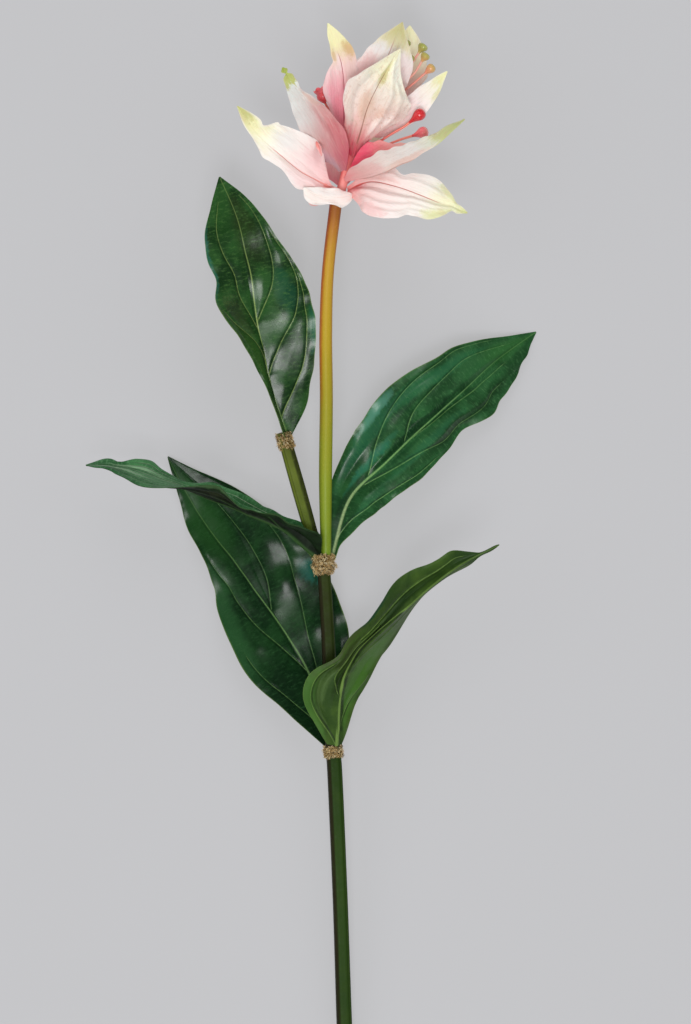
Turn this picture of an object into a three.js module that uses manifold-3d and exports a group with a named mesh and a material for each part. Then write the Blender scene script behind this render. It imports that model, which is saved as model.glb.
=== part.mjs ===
// A cut rose grape flower (Medinilla), artificial, lying down: millimetres, +Z up.
// The stem runs along +Y from its cut end. Heights are measured from the surface it rests on.
import * as THREE from 'three';
import { mergeVertices } from 'three/addons/utils/BufferGeometryUtils.js';
import Module from 'manifold-3d';

const wasm = await Module();
wasm.setup();

// Driving dimensions
const CLEARANCE = 0.3;          // gap kept between pieces that touch
const FLOOR_SLAB = { size: [900, 1700, 40], middle: 400 };
const STEM_RADII = [6, 5.8, 5.6, 5.6, 5.4, 5, 4.8, 4.6];
const STALK_RADII = [3.8, 4.9, 4.9, 4.8, 4.5, 4.6];
const BRANCH_RADII = [4.3, 4.6, 4];
const AXIS_RADII = [4, 3.6, 3.2, 3, 2.6, 2.2, 1.5];
const STEM_SQUARENESS = 0.09;   // share by which the corners of a stem stand out
const LEAF = { rows: 22, columns: 4, rib: 3.2, middle: 1.4, edge: 0.7, ribbing: 1.1 };
const BRACT = { rows: 14, columns: 3, rib: 1.8, middle: 1, edge: 0.7, ribbing: 0 };
const TUFT = { bristles: 24, length: 3, root: 0.75, tip: 0.25, stray: 2.4 };
const STEM_SIDES = 8;
const BUD_STALK_RADIUS = 0.85;
const SPRAY_ROOT_RADIUS = 1.5;
const STALK_SPREAD = 0.5;       // how far from a spray's middle its stalks start
const BUD_SIDES = 7;
// A bud's outline from its base to its crown, as shares of its radius and its length
const BUD_PROFILE = [
  [0, -0.06], [0.45, 0.04], [0.9, 0.3], [1, 0.52], [0.8, 0.78], [0.6, 0.9], [0.7, 1], [0, 0.96],
];
const SHORT_STEP = 0.001;       // share of a curve over which its direction is taken
const UP = new THREE.Vector3(0, 0, 1);

// Colours
const DARK_LEAF = { color: 0x14361f, roughness: 0.35 };
const PALE_LEAF = { color: 0x3d5c2c, roughness: 0.55 };
const STEM_GREEN = { color: 0x2f3d1c, roughness: 0.6 };
const STALK_GREEN = { color: 0x8a7a2c, roughness: 0.5 };
const CORAL = { color: 0xe08078, roughness: 0.6 };
const BRACT_PINK = { color: 0xf0d2cc, roughness: 0.65 };
const FIBRE_TAN = { color: 0xa88a5c, roughness: 0.9 };
const BUD_RED = { color: 0xd04a48, roughness: 0.4 };
const BUD_GREEN = { color: 0x9a9c48, roughness: 0.4 };

// Leaves: [x, y, z] along the midrib, half widths to each side of it, and the angle in degrees by
// which each half rises towards the upper face. All the lists are spread evenly along the midrib.
// A wave is [height, waves along the edge, start]. What rests on the surface is cut flat there.
const LEAVES = {
  leaf_branch: {
    spine: [[-45.4, 504.5, 46.2], [-55, 534, 52], [-62, 566, 57], [-70, 600, 60], [-76, 633, 61],
      [-83, 664, 59], [-94, 694, 54]],
    face: [[0.6, 0, 0.8], [0.64, 0, 0.77], [0.53, 0, 0.85], [0.3, 0, 0.95], [0.12, 0, 0.99],
      [0, 0, 1], [0, 0, 1]],
    left: [3, 9, 13, 19, 26, 31, 28, 27, 24, 14, 0.5],
    right: [3, 22, 33, 40, 43, 43, 38, 29, 21, 12, 0.5],
    leftFold: [40, 40, 32, 18, 8, 5, 5],
    rightFold: [40, 40, 32, 18, 8, 5, 5],
    leftWave: [4, 2.5, 0.1],
    rightWave: [3, 2, 0.6],
    finish: DARK_LEAF,
  },
  leaf_right: {
    spine: [[-8.9, 412.5, 37.9], [3, 453, 34], [30, 481, 30], [57, 507, 25], [86, 533, 18], [114, 559, 10],
      [145, 581, 0.2]],
    face: [[0, 0, 1], [0, 0, 1], [0.1, -0.1, 1], [0.15, -0.15, 1], [0.2, -0.2, 1],
      [0.15, -0.15, 1], [0, 0, 1]],
    left: [3, 13, 26, 34, 40, 41, 39, 33, 24, 11, 0.5],
    right: [3, 15, 24, 26, 27, 26, 22, 29, 24, 13, 0.5],
    leftFold: [0, 0, 0, 5, 8, 5, 5],
    rightFold: [35, 25, 14, 8, 5, 5, 5],
    leftWave: [3, 2.5, 0.3],
    rightWave: [4, 3, 0.15],
    finish: DARK_LEAF,
    rests: true,
  },
  leaf_low_left: {
    spine: [[-14.1, 270.8, 22.2], [-24, 309, 13], [-43, 346, 8], [-62, 384, 5], [-79, 423, 2.5],
      [-104, 457, 0.2], [-135, 486, 5]],
    face: [[0, 0, 1], [0, 0, 1]],
    left: [3, 24, 35, 41, 41, 39, 34, 32, 29, 17, 0.5],
    right: [3, 18, 36, 47, 50, 47, 39, 29, 19, 8, 0.5],
    leftFold: [30, 22, 14, 10, 8, 8, 8],
    rightFold: [8, 2, 4, 6, 8, 8, 8],
    leftWave: [3, 3, 0.2],
    rightWave: [3, 2.5, 0.6],
    finish: DARK_LEAF,
    rests: true,
  },
  leaf_left: {
    spine: [[-23.9, 411.8, 45.3], [-49, 431, 52], [-76, 444, 54], [-105, 455, 54], [-135, 467, 54],
      [-165, 477, 52], [-194, 479, 49]],
    face: [[0.2, 0.95, -0.15], [0.1, 0.97, -0.2], [0.1, 0.97, -0.1], [0, 0.96, 0.15], [0, 0.93, 0.3],
      [0, 0.9, 0.4], [0, 0.9, 0.4]],
    left: [3, 18, 26, 30, 28, 18, 0.5],
    right: [3, 18, 26, 30, 26, 14, 0.5],
    leftFold: [40, 32, 28, 24, 16, 12, 10],
    rightFold: [85, 72, 45, 30, 18, 12, 10],
    leftWave: [4, 2, 0.1],
    rightWave: [3, 2, 0.5],
    finish: DARK_LEAF,
  },
  leaf_front: {
    spine: [[-5.9, 275, 37.3], [-5, 306, 57], [10, 337, 72], [33, 361, 82], [56, 383, 88], [83, 404, 90],
      [113, 420, 90]],
    face: [[0, 0, -1], [0, 0, -1]],
    left: [3, 16, 25, 30, 30, 28, 25, 21, 15, 8, 0.5],
    right: [3, 24, 28, 21, 24, 26, 26, 20, 14, 7, 0.5],
    leftFold: [30, 35, 48, 60, 66, 75, 82, 85, 80, 60, 30],
    rightFold: [30, 15, 8, 35, 60, 55, 42, 25, 25, 25, 20],
    leftWave: [0, 1, 0],
    rightWave: [0, 1, 0],
    finish: PALE_LEAF,
  },
};

// Bracts, from the lowest tier to the top. A curl bends each half on over its width, in degrees.
const BRACTS = {
  bract_low_left: {
    spine: [[-5.1, 680.9, 68.8], [-19, 688, 75], [-34, 696, 79], [-50, 709, 82], [-65, 723, 81],
      [-80, 744, 77]],
    face: [[-0.2, 0.4, 0.8], [0, 0.3, 0.95], [0, 0.2, 1], [0, 0.2, 1], [0, 0.2, 1], [0, 0.2, 1]],
    left: [9, 16, 20, 17, 11, 8, 9, 8, 5, 4, 0.5],
    right: [4, 7, 14, 23, 26, 25, 22, 18, 11, 7, 0.5],
    leftFold: [10, 5, -5, -10, 0, 8, 10, 10, 10, 10, 10],
    rightFold: [20, 20, 10, 4, 8, 10, 10, 10, 10, 10, 10],
  },
  bract_low_right: {
    spine: [[1.8, 682.5, 66.1], [18, 688, 77], [37, 684, 84], [56, 677, 86], [74, 670, 83], [90, 665, 78]],
    face: [[0.2, 0.4, 0.8], [0, 0.3, 0.95], [0, 0.2, 1], [0, 0.2, 1], [0, 0.2, 1], [0, 0.2, 1]],
    left: [3, 5, 8, 11, 12, 14, 16, 15, 10, 5, 0.5],
    right: [3, 16, 25, 29, 28, 24, 18, 16, 9, 4, 0.5],
    leftFold: [20, 12, 10, 10, 10, 10],
    rightFold: [20, 12, 10, 10, 10, 10],
  },
  bract_back_low: {
    spine: [[-2.6, 686.4, 60], [-3, 699, 42], [2, 712, 30], [9, 725, 25], [17, 737, 25], [24, 750, 30]],
    face: [[0, 0.4, 1], [0, 0.3, 1]],
    left: [4, 14, 20, 24, 26, 26, 23, 18, 13, 7, 0.5],
    right: [4, 14, 20, 24, 26, 26, 23, 18, 13, 7, 0.5],
    leftFold: [20, 18, 15, 12, 10, 10],
    rightFold: [20, 18, 15, 12, 10, 10],
  },
  bract_mid_left: {
    spine: [[-2.6, 696.9, 69.9], [-11, 713, 91], [-20, 731, 102], [-31, 747, 108], [-40, 759, 112],
      [-46, 768, 114]],
    face: [[0.5, 0.3, -0.8], [0.4, 0.3, -0.9], [0.3, 0.3, -0.9], [0.3, 0.2, -0.9], [0.3, 0.2, -0.9],
      [0.3, 0.2, -0.9]],
    left: [4, 10, 15, 16, 13, 10, 7, 5, 4, 4, 0.5],
    right: [4, 12, 15, 16, 16, 14, 11, 8, 5, 4, 0.5],
    leftFold: [20, 25, 25, 20, 15, 10],
    rightFold: [20, 25, 25, 20, 15, 10],
  },
  bract_mid_right: {
    spine: [[0.6, 689.7, 69.3], [20, 691, 88], [38, 698, 96], [54, 705, 102], [69, 715, 106],
      [87, 731, 108]],
    face: [[-0.45, 0.85, 0.05], [-0.5, 0.85, 0.1]],
    left: [3, 9, 17, 18, 14, 12, 11, 9, 7, 4, 0.5],
    right: [3, 12, 16, 17, 17, 16, 15, 12, 8, 5, 0.5],
    leftFold: [78, 76, 70, 66, 62, 55, 50, 40, 30, 20, 10],
    rightFold: [50, 58, 60, 60, 58, 55, 50, 40, 30, 20, 10],
  },
  bract_front: {
    spine: [[5.5, 707.2, 72.2], [12, 726, 96], [17, 742, 103], [24, 756, 106], [31, 768, 104],
      [40, 783, 97]],
    face: [[0, 0.3, -0.9], [0, 0.2, -1], [0, 0.1, -1], [0, 0, -1], [0, 0, -1], [0, -0.1, -1]],
    left: [3.5, 10, 24, 31, 33, 32, 28, 23, 15, 7, 0.5],
    right: [3.5, 9, 15, 20, 23, 24, 19, 16, 12, 7, 0.5],
    leftFold: [20, 20, 18, 15, 20, 20],
    rightFold: [20, 20, 18, 15, 20, 20],
    leftCurl: [20, 20],
    rightCurl: [20, 20],
  },
  bract_left_fold: {
    spine: [[0.9, 713.5, 67], [-1, 734, 72], [-1, 756, 76], [-3, 775, 79], [-8, 789, 80], [-13, 805, 79]],
    face: [[1, 0, 0.1], [0.6, -0.1, 0.7], [0.5, -0.1, 0.8], [0.4, -0.1, 0.8], [0.2, -0.1, 0.9], [0, 0, 1]],
    left: [3, 9, 14, 22, 27, 23, 14, 7, 4, 3, 0.5],
    right: [2.5, 4, 5, 7, 9, 11, 12, 12, 10, 6, 0.5],
    leftFold: [30, 30, 30, 25, 20, 10],
    rightFold: [30, 30, 30, 25, 20, 10],
  },
  bract_right_up: {
    spine: [[14.4, 727.5, 68.5], [28, 731, 72], [42, 739, 75], [54, 747, 77], [65, 757, 79], [75, 769, 80]],
    face: [[0, 0, 1], [0, 0, 1]],
    left: [3, 8, 9, 9, 9, 8, 8, 8, 6, 4, 0.5],
    right: [3, 8, 10, 11, 11, 11, 10, 8, 6, 3, 0.5],
    leftFold: [20, 15, 12, 10, 10, 10],
    rightFold: [20, 15, 12, 10, 10, 10],
  },
  bract_back_high: {
    spine: [[14.2, 739.3, 64.2], [18, 753, 50], [21, 766, 42], [27, 777, 38], [32, 788, 38], [36, 798, 42]],
    face: [[0, 0.4, 1], [0, 0.3, 1]],
    left: [4, 10, 15, 18, 20, 20, 18, 14, 10, 6, 0.5],
    right: [4, 10, 15, 18, 20, 20, 18, 14, 10, 6, 0.5],
    leftFold: [20, 18, 15, 12, 10, 10],
    rightFold: [20, 18, 15, 12, 10, 10],
  },
  bract_top_back: {
    spine: [[20.2, 744.4, 65.1], [30, 755, 58], [39, 768, 54], [44, 781, 52], [47, 793, 52], [48, 807, 53]],
    face: [[-0.2, 0, 1], [-0.2, 0, 1], [-0.2, 0, 1], [-0.1, 0, 1], [0, 0, 1], [0, 0, 1]],
    left: [3, 8, 12, 14, 15, 15, 14, 13, 11, 6, 0.5],
    right: [4, 9, 13, 16, 19, 21, 18, 15, 11, 6, 0.5],
    leftFold: [15, 10, 8, 8, 8, 8],
    rightFold: [15, 10, 8, 8, 8, 8],
  },
  bract_top: {
    spine: [[14.6, 740.2, 71.8], [20, 752, 82], [25, 766, 87], [31, 779, 89], [36, 791, 88], [42, 805, 84]],
    face: [[0, 0.3, -0.9], [0, 0.2, -1], [0, 0.1, -1], [0, 0, -1], [0, 0, -1], [0, 0, -1]],
    left: [4, 14, 20, 22, 23, 22, 21, 18, 13, 7, 0.5],
    right: [3, 7, 12, 16, 20, 18, 17, 14, 11, 6, 0.5],
    leftFold: [20, 20, 18, 15, 15, 15],
    rightFold: [20, 20, 18, 15, 15, 15],
  },
};

// Stems: [x, y, z] along each one, and the number of steps that it is drawn in
const STEMS = {
  stem: {
    path: [[1.5, -6, 6], [-1, 59, 12], [-4, 151, 19], [-8, 246, 27], [-10, 272, 29.5], [-13, 348, 36],
      [-16, 397, 40.5], [-16.5, 413, 42]],
    radii: STEM_RADII,
    steps: 22,
    finish: STEM_GREEN,
    rests: true,
  },
  side_branch: {
    path: [[-21.3, 413.3, 35], [-33.4, 459, 41], [-44.5, 504, 46]],
    radii: BRANCH_RADII,
    steps: 8,
    finish: STEM_GREEN,
  },
  flower_stalk: {
    path: [[-14.6, 414, 42.5], [-15, 468, 46], [-14.3, 528, 50], [-14.7, 578, 54], [-13, 624, 58],
      [-7.5, 670.5, 62]],
    radii: STALK_RADII,
    steps: 16,
    finish: STALK_GREEN,
  },
  flower_axis: {
    path: [[-7.2, 672, 62.1], [-3.3, 683, 64], [1, 699, 67], [5.6, 713, 68], [12, 735, 68], [20, 753, 68],
      [27, 768, 68]],
    radii: AXIS_RADII,
    steps: 10,
    finish: CORAL,
  },
};

// Fibre tufts: the stem that each one rings, and the shares of its length where the ring starts
// and ends, and the thickness of the ring
const TUFTS = {
  tuft_lower: { on: 'stem', from: 0.49, to: 0.566, wall: 1.8 },
  tuft_middle: { on: 'stem', from: 0.855, to: 0.985, wall: 3.2 },
  tuft_branch: { on: 'side_branch', from: 0.86, to: 0.99, wall: 1.3 },
};

// Bud sprays: each stalk's path from the spray's root to its bud, the bud's length and its radius
const SPRAYS = {
  bud_spray_right: {
    finish: BUD_RED,
    buds: [
      {
        path: [[5.7, 701.5, 70.4], [14, 708, 72], [23, 716, 78], [34, 723, 82], [43, 728, 84], [47, 731, 85]],
        length: 12,
        radius: 4.4,
      },
      {
        path: [[5.7, 701.5, 70.4], [15, 706, 72.5], [25, 712.5, 78.5], [39, 718, 84], [49, 721, 86]],
        length: 11,
        radius: 4.6,
      },
    ],
  },
  bud_spray_left: {
    finish: BUD_RED,
    buds: [
      {
        path: [[4.1, 719.4, 64.7], [-1, 724, 61.5], [-7, 731, 65], [-11.5, 740, 71.5], [-15, 746.5, 75]],
        length: 11,
        radius: 4,
      },
    ],
  },
  bud_spray_top: {
    finish: BUD_GREEN,
    buds: [
      {
        path: [[22.7, 750.1, 69.5], [34.5, 752, 71], [46, 758, 72], [58, 768, 73]],
        length: 10,
        radius: 3.2,
      },
      {
        path: [[22.7, 750.1, 69.5], [37, 758, 71], [50, 768, 71.5], [56, 777, 72]],
        length: 8,
        radius: 3.5,
      },
      {
        path: [[22.7, 750.1, 69.5], [36, 761, 68], [47, 774, 68], [54, 784, 68.5]],
        length: 8.5,
        radius: 3.8,
      },
      {
        path: [[22.7, 750.1, 69.5], [34, 763, 72.5], [45, 776, 75]],
        length: 7.5,
        radius: 3,
      },
      {
        path: [[22.7, 750.1, 69.5], [33, 767, 69], [43, 787, 68]],
        length: 8,
        radius: 3.2,
      },
    ],
  },
  bud_spray_back: {
    finish: BUD_RED,
    buds: [
      {
        path: [[8.2, 722, 63], [4, 733, 52], [2, 742, 46]],
        length: 11,
        radius: 4.4,
      },
      {
        path: [[8.2, 722, 63], [12, 734, 50], [10, 748, 41]],
        length: 11,
        radius: 4.2,
      },
      {
        path: [[8.2, 722, 63], [24, 731, 54], [38, 740, 48]],
        length: 11,
        radius: 4.4,
      },
    ],
  },
};

// Value at a share of an evenly spread list, on a smooth curve through all its numbers
function along(values, share) {
  const last = values.length - 1;
  const place = THREE.MathUtils.clamp(share, 0, 1) * last;
  const i = Math.min(Math.floor(place), last - 1);
  const t = place - i;
  const here = values[i];
  const next = values[i + 1];
  const before = i > 0 ? values[i - 1] : 2 * here - next;
  const after = i < last - 1 ? values[i + 2] : 2 * next - here;
  return 0.5 * (2 * here + (next - before) * t
    + (2 * before - 5 * here + 4 * next - after) * t ** 2
    + (3 * here - before - 3 * next + after) * t ** 3);
}

function curveThrough(points) {
  return new THREE.CatmullRomCurve3(points.map((p) => new THREE.Vector3(...p)), false, 'catmullrom', 0.5);
}

// Unit vector along a curve
function directionAt(curve, share) {
  const before = curve.getPoint(Math.max(share - SHORT_STEP, 0));
  return curve.getPoint(Math.min(share + SHORT_STEP, 1)).sub(before).normalize();
}

// Seeded random numbers from 0 to 1
function randomFrom(seed) {
  let state = seed;
  return () => {
    state = (state * 1664525 + 1013904223) % 4294967296;
    return state / 4294967296;
  };
}

function closedGeometry(points, faces) {
  const geometry = new THREE.BufferGeometry();
  const places = points.flatMap((p) => [p.x, p.y, p.z]);
  geometry.setAttribute('position', new THREE.Float32BufferAttribute(places, 3));
  geometry.setIndex(faces.flat());
  return geometry;
}

function toManifold(geometry) {
  const bare = geometry.clone();
  bare.deleteAttribute('normal');
  bare.deleteAttribute('uv');
  const merged = mergeVertices(bare, 1e-4);
  return new wasm.Manifold(new wasm.Mesh({
    numProp: 3,
    vertProperties: new Float32Array(merged.attributes.position.array),
    triVerts: new Uint32Array(merged.index.array),
  }));
}

function fromManifold(solid) {
  const mesh = solid.getMesh();
  const geometry = new THREE.BufferGeometry();
  geometry.setAttribute('position', new THREE.Float32BufferAttribute(mesh.vertProperties, 3));
  geometry.setIndex(Array.from(mesh.triVerts));
  return geometry;
}

function fuse(geometries) {
  const solids = geometries.map(toManifold);
  return fromManifold(solids.reduce((body, solid) => body.add(solid)));
}

// The flats that the part rests on: whatever dips below the surface is cut off
function restOnSurface(geometry) {
  const slab = new THREE.BoxGeometry(...FLOOR_SLAB.size);
  slab.translate(0, FLOOR_SLAB.middle, -FLOOR_SLAB.size[2] / 2);
  return fromManifold(toManifold(geometry).subtract(toManifold(slab)));
}

// A blade's middle surface: rows from base to tip, columns from the left edge to the right one
function bladeSurface(blade, form) {
  const spine = curveThrough(blade.spine);
  const face = curveThrough(blade.face);
  const grid = [];
  for (let row = 0; row <= form.rows; row += 1) {
    const share = row / form.rows;
    const centre = spine.getPoint(share);
    const tangent = directionAt(spine, share);
    const normal = face.getPoint(share).projectOnPlane(tangent).normalize();
    const side = new THREE.Vector3().crossVectors(tangent, normal);
    const line = [];
    for (let column = -form.columns; column <= form.columns; column += 1) {
      const half = column < 0 ? 'left' : 'right';
      const out = Math.abs(column) / form.columns;
      const width = along(blade[half], share);
      const fold = THREE.MathUtils.degToRad(along(blade[`${half}Fold`], share));
      const curl = THREE.MathUtils.degToRad(along(blade[`${half}Curl`] ?? [0.01, 0.01], share));
      const [height, waves, start] = blade[`${half}Wave`] ?? [0, 1, 0];
      const swell = Math.sqrt(Math.sin(Math.PI * Math.min(1.15 * share, 1)));
      const wave = height * out ** 2 * Math.sin(2 * Math.PI * (waves * share + start)) * swell;
      const quilt = form.ribbing * Math.abs(Math.sin(2 * Math.PI * out)) * Math.sin(Math.PI * share);
      const across = width * (Math.sin(fold + curl * out) - Math.sin(fold)) / curl;
      const rise = width * (Math.cos(fold) - Math.cos(fold + curl * out)) / curl + wave + quilt;
      line.push(centre.clone()
        .addScaledVector(side, Math.sign(column) * across)
        .addScaledVector(normal, rise));
    }
    grid.push(line);
  }
  return grid;
}

// A closed blade of varying thickness round its middle surface
function bladeSolid(blade, form) {
  const grid = bladeSurface(blade, form);
  const rows = form.rows;
  const columns = 2 * form.columns;
  const upper = [];
  const lower = [];
  for (let row = 0; row <= rows; row += 1) {
    for (let column = 0; column <= columns; column += 1) {
      const across = grid[row][Math.min(column + 1, columns)].clone();
      across.sub(grid[row][Math.max(column - 1, 0)]);
      const down = grid[Math.min(row + 1, rows)][column].clone();
      down.sub(grid[Math.max(row - 1, 0)][column]);
      const normal = across.cross(down).normalize();
      const out = Math.abs(column - form.columns) / form.columns;
      const share = row / rows;
      const rib = THREE.MathUtils.lerp(form.rib, form.middle, Math.min(4 * share, 1));
      const thickness = THREE.MathUtils.lerp(rib, form.edge, Math.min(2 * out, 1));
      upper.push(grid[row][column].clone().addScaledVector(normal, thickness / 2));
      lower.push(grid[row][column].clone().addScaledVector(normal, -thickness / 2));
    }
  }
  const faces = [];
  const count = upper.length;
  const at = (row, column) => row * (columns + 1) + column;
  for (let row = 0; row < rows; row += 1) {
    for (let column = 0; column < columns; column += 1) {
      const [a, b] = [at(row, column), at(row, column + 1)];
      const [c, d] = [at(row + 1, column + 1), at(row + 1, column)];
      faces.push([a, b, c], [a, c, d]);
      faces.push([count + a, count + c, count + b], [count + a, count + d, count + c]);
    }
  }
  const rim = [];
  for (let column = 0; column < columns; column += 1) {
    rim.push(at(0, column));
  }
  for (let row = 0; row < rows; row += 1) {
    rim.push(at(row, columns));
  }
  for (let column = columns; column > 0; column -= 1) {
    rim.push(at(rows, column));
  }
  for (let row = rows; row > 0; row -= 1) {
    rim.push(at(row, 0));
  }
  rim.forEach((here, i) => {
    const next = rim[(i + 1) % rim.length];
    faces.push([count + here, count + next, next], [count + here, next, here]);
  });
  return closedGeometry([...upper, ...lower], faces);
}

// A closed tube whose radius follows a list, with its corners drawn out by a share of the radius
function tubeSolid(points, radii, sides, steps, squareness = 0) {
  const curve = curveThrough(points);
  const rings = [];
  for (let step = 0; step <= steps; step += 1) {
    const share = step / steps;
    const tangent = directionAt(curve, share);
    const level = new THREE.Vector3().crossVectors(tangent, UP);
    if (level.length() < 0.05) {
      level.set(1, 0, 0);
    }
    level.normalize();
    const upright = new THREE.Vector3().crossVectors(level, tangent);
    for (let side = 0; side < sides; side += 1) {
      const angle = 2 * Math.PI * side / sides;
      const radius = along(radii, share) * (1 + squareness * Math.cos(4 * angle));
      rings.push(curve.getPoint(share)
        .addScaledVector(level, radius * Math.cos(angle))
        .addScaledVector(upright, radius * Math.sin(angle)));
    }
  }
  const faces = [];
  for (let step = 0; step < steps; step += 1) {
    for (let side = 0; side < sides; side += 1) {
      const [a, b] = [step * sides + side, step * sides + (side + 1) % sides];
      faces.push([a, b + sides, b], [a, a + sides, b + sides]);
    }
  }
  const top = steps * sides;
  for (let side = 1; side < sides - 1; side += 1) {
    faces.push([0, side, side + 1], [top, top + side + 1, top + side]);
  }
  return closedGeometry(rings, faces);
}

// A geometry modelled along +Y, laid along a direction from a place
function turnedFromY(geometry, place, direction) {
  geometry.applyQuaternion(new THREE.Quaternion().setFromUnitVectors(new THREE.Vector3(0, 1, 0), direction));
  geometry.translate(place.x, place.y, place.z);
  return geometry;
}

// A ring of coarse fibre round a stem, with short bristles rooted in it
function tuftSolid(tuft, seed) {
  const host = STEMS[tuft.on];
  const curve = curveThrough(host.path);
  const start = curve.getPoint(tuft.from);
  const end = curve.getPoint(tuft.to);
  const height = start.distanceTo(end);
  const thickest = Math.max(along(host.radii, tuft.from), along(host.radii, tuft.to));
  const inner = thickest * (1 + STEM_SQUARENESS) + 2 * CLEARANCE;
  const outer = inner + tuft.wall;
  const profile = [
    [inner, 0], [outer - 0.5, 0], [outer, 0.25 * height], [outer + 0.3, 0.7 * height],
    [outer - 0.5, height], [inner, height], [inner, 0],
  ].map(([x, y]) => new THREE.Vector2(x, y));
  const parts = [new THREE.LatheGeometry(profile, 12)];
  const rooted = Math.max(inner + 1.2 * TUFT.root, outer - 0.6 * tuft.wall);
  const random = randomFrom(seed);
  for (let i = 0; i < TUFT.bristles; i += 1) {
    const angle = 2 * Math.PI * (i + 0.6 * random()) / TUFT.bristles;
    const level = height * (0.12 + 0.76 * random());
    const outward = new THREE.Vector3(Math.cos(angle), 0, Math.sin(angle));
    const sideways = new THREE.Vector3(-Math.sin(angle), 0, Math.cos(angle));
    sideways.multiplyScalar(TUFT.stray * (random() - 0.5));
    const lift = new THREE.Vector3(0, TUFT.stray * (random() - 0.5), 0);
    const root = outward.clone().multiplyScalar(rooted).setY(level);
    const bend = root.clone().addScaledVector(outward, 0.6 * TUFT.length).add(sideways);
    const tip = bend.clone().addScaledVector(outward, 0.12 * TUFT.length).add(sideways).add(lift);
    tip.y = THREE.MathUtils.clamp(tip.y, TUFT.root, height - TUFT.root);
    const points = [root, bend, tip].map((p) => p.toArray());
    parts.push(tubeSolid(points, [TUFT.root, 0.8 * TUFT.root, TUFT.tip], 3, 2));
  }
  const geometry = fuse(parts);
  return turnedFromY(geometry, start, end.clone().sub(start).normalize());
}

// A bud at the end of its stalk: a fat drop that narrows to a rimmed crown
function budSolid(bud) {
  const [before, base] = bud.path.slice(-2).map((p) => new THREE.Vector3(...p));
  const direction = base.clone().sub(before).normalize();
  const profile = BUD_PROFILE.map(([out, up]) => new THREE.Vector2(out * bud.radius, up * bud.length));
  return turnedFromY(new THREE.LatheGeometry(profile, BUD_SIDES), base, direction);
}

// A spray's stalks start a little apart inside one small root
function spraySolid(spray) {
  const [rootX, rootY, rootZ] = spray.buds[0].path[0];
  const root = new THREE.SphereGeometry(SPRAY_ROOT_RADIUS, 8, 6);
  root.translate(rootX, rootY, rootZ);
  const parts = spray.buds.flatMap((bud, i) => {
    const turn = 2 * Math.PI * i / spray.buds.length;
    const start = [
      rootX + STALK_SPREAD * Math.cos(turn),
      rootY + 0.2 * STALK_SPREAD * i,
      rootZ + STALK_SPREAD * Math.sin(turn),
    ];
    const path = [start, ...bud.path.slice(1)];
    const stalk = tubeSolid(path, [BUD_STALK_RADIUS, BUD_STALK_RADIUS], 5, path.length + 2);
    return [stalk, budSolid(bud)];
  });
  return fuse([root, ...parts]);
}

const flower = new THREE.Group();

function addPiece(name, geometry, finish) {
  const mesh = new THREE.Mesh(geometry, new THREE.MeshStandardMaterial({ ...finish, metalness: 0 }));
  mesh.name = name;
  flower.add(mesh);
}

for (const [name, stem] of Object.entries(STEMS)) {
  const tube = tubeSolid(stem.path, stem.radii, STEM_SIDES, stem.steps, STEM_SQUARENESS);
  addPiece(name, stem.rests ? restOnSurface(tube) : tube, stem.finish);
}
for (const [name, leaf] of Object.entries(LEAVES)) {
  const blade = bladeSolid(leaf, LEAF);
  addPiece(name, leaf.rests ? restOnSurface(blade) : blade, leaf.finish);
}
for (const [name, bract] of Object.entries(BRACTS)) {
  addPiece(name, bladeSolid(bract, BRACT), BRACT_PINK);
}
Object.entries(TUFTS).forEach(([name, tuft], i) => {
  addPiece(name, tuftSolid(tuft, 11 + i), FIBRE_TAN);
});
for (const [name, spray] of Object.entries(SPRAYS)) {
  addPiece(name, spraySolid(spray), spray.finish);
}

// The origin is the centre of the part's footprint, on the surface
const box = new THREE.Box3().setFromObject(flower, true);
flower.position.set(-(box.min.x + box.max.x) / 2, -(box.min.y + box.max.y) / 2, -box.min.z);
flower.updateMatrixWorld(true);

export default flower;
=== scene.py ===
import functools
import math

import bpy
import numpy as np
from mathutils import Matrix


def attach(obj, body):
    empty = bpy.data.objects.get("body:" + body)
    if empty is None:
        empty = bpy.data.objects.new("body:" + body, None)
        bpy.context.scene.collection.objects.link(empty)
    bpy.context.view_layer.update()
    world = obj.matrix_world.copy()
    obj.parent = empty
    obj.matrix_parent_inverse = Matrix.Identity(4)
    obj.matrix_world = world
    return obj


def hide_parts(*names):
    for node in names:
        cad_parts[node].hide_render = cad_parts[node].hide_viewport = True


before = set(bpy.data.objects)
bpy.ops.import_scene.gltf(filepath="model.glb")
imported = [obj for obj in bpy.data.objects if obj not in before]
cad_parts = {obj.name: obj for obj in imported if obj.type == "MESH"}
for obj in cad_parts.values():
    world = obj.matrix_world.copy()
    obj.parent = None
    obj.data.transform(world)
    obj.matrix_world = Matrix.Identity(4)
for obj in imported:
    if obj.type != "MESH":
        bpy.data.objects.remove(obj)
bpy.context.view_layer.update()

# The looks of a cut rose grape flower that lies down. Lists are in millimetres, in the layout of the
# CAD source: x to the right, y up the stem, z up from the surface.
MM = 0.001
LAYOUT_TO_PART = np.array([24.36042, -400.22861, 0.0])
PICTURE_HEIGHT_PX = 1024
MM_PER_PX = 0.75
CAMERA_HEIGHT = 2640.0
SHARP_PLANE = 40.0
VIEW_CENTRE_Y = 444.0

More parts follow.
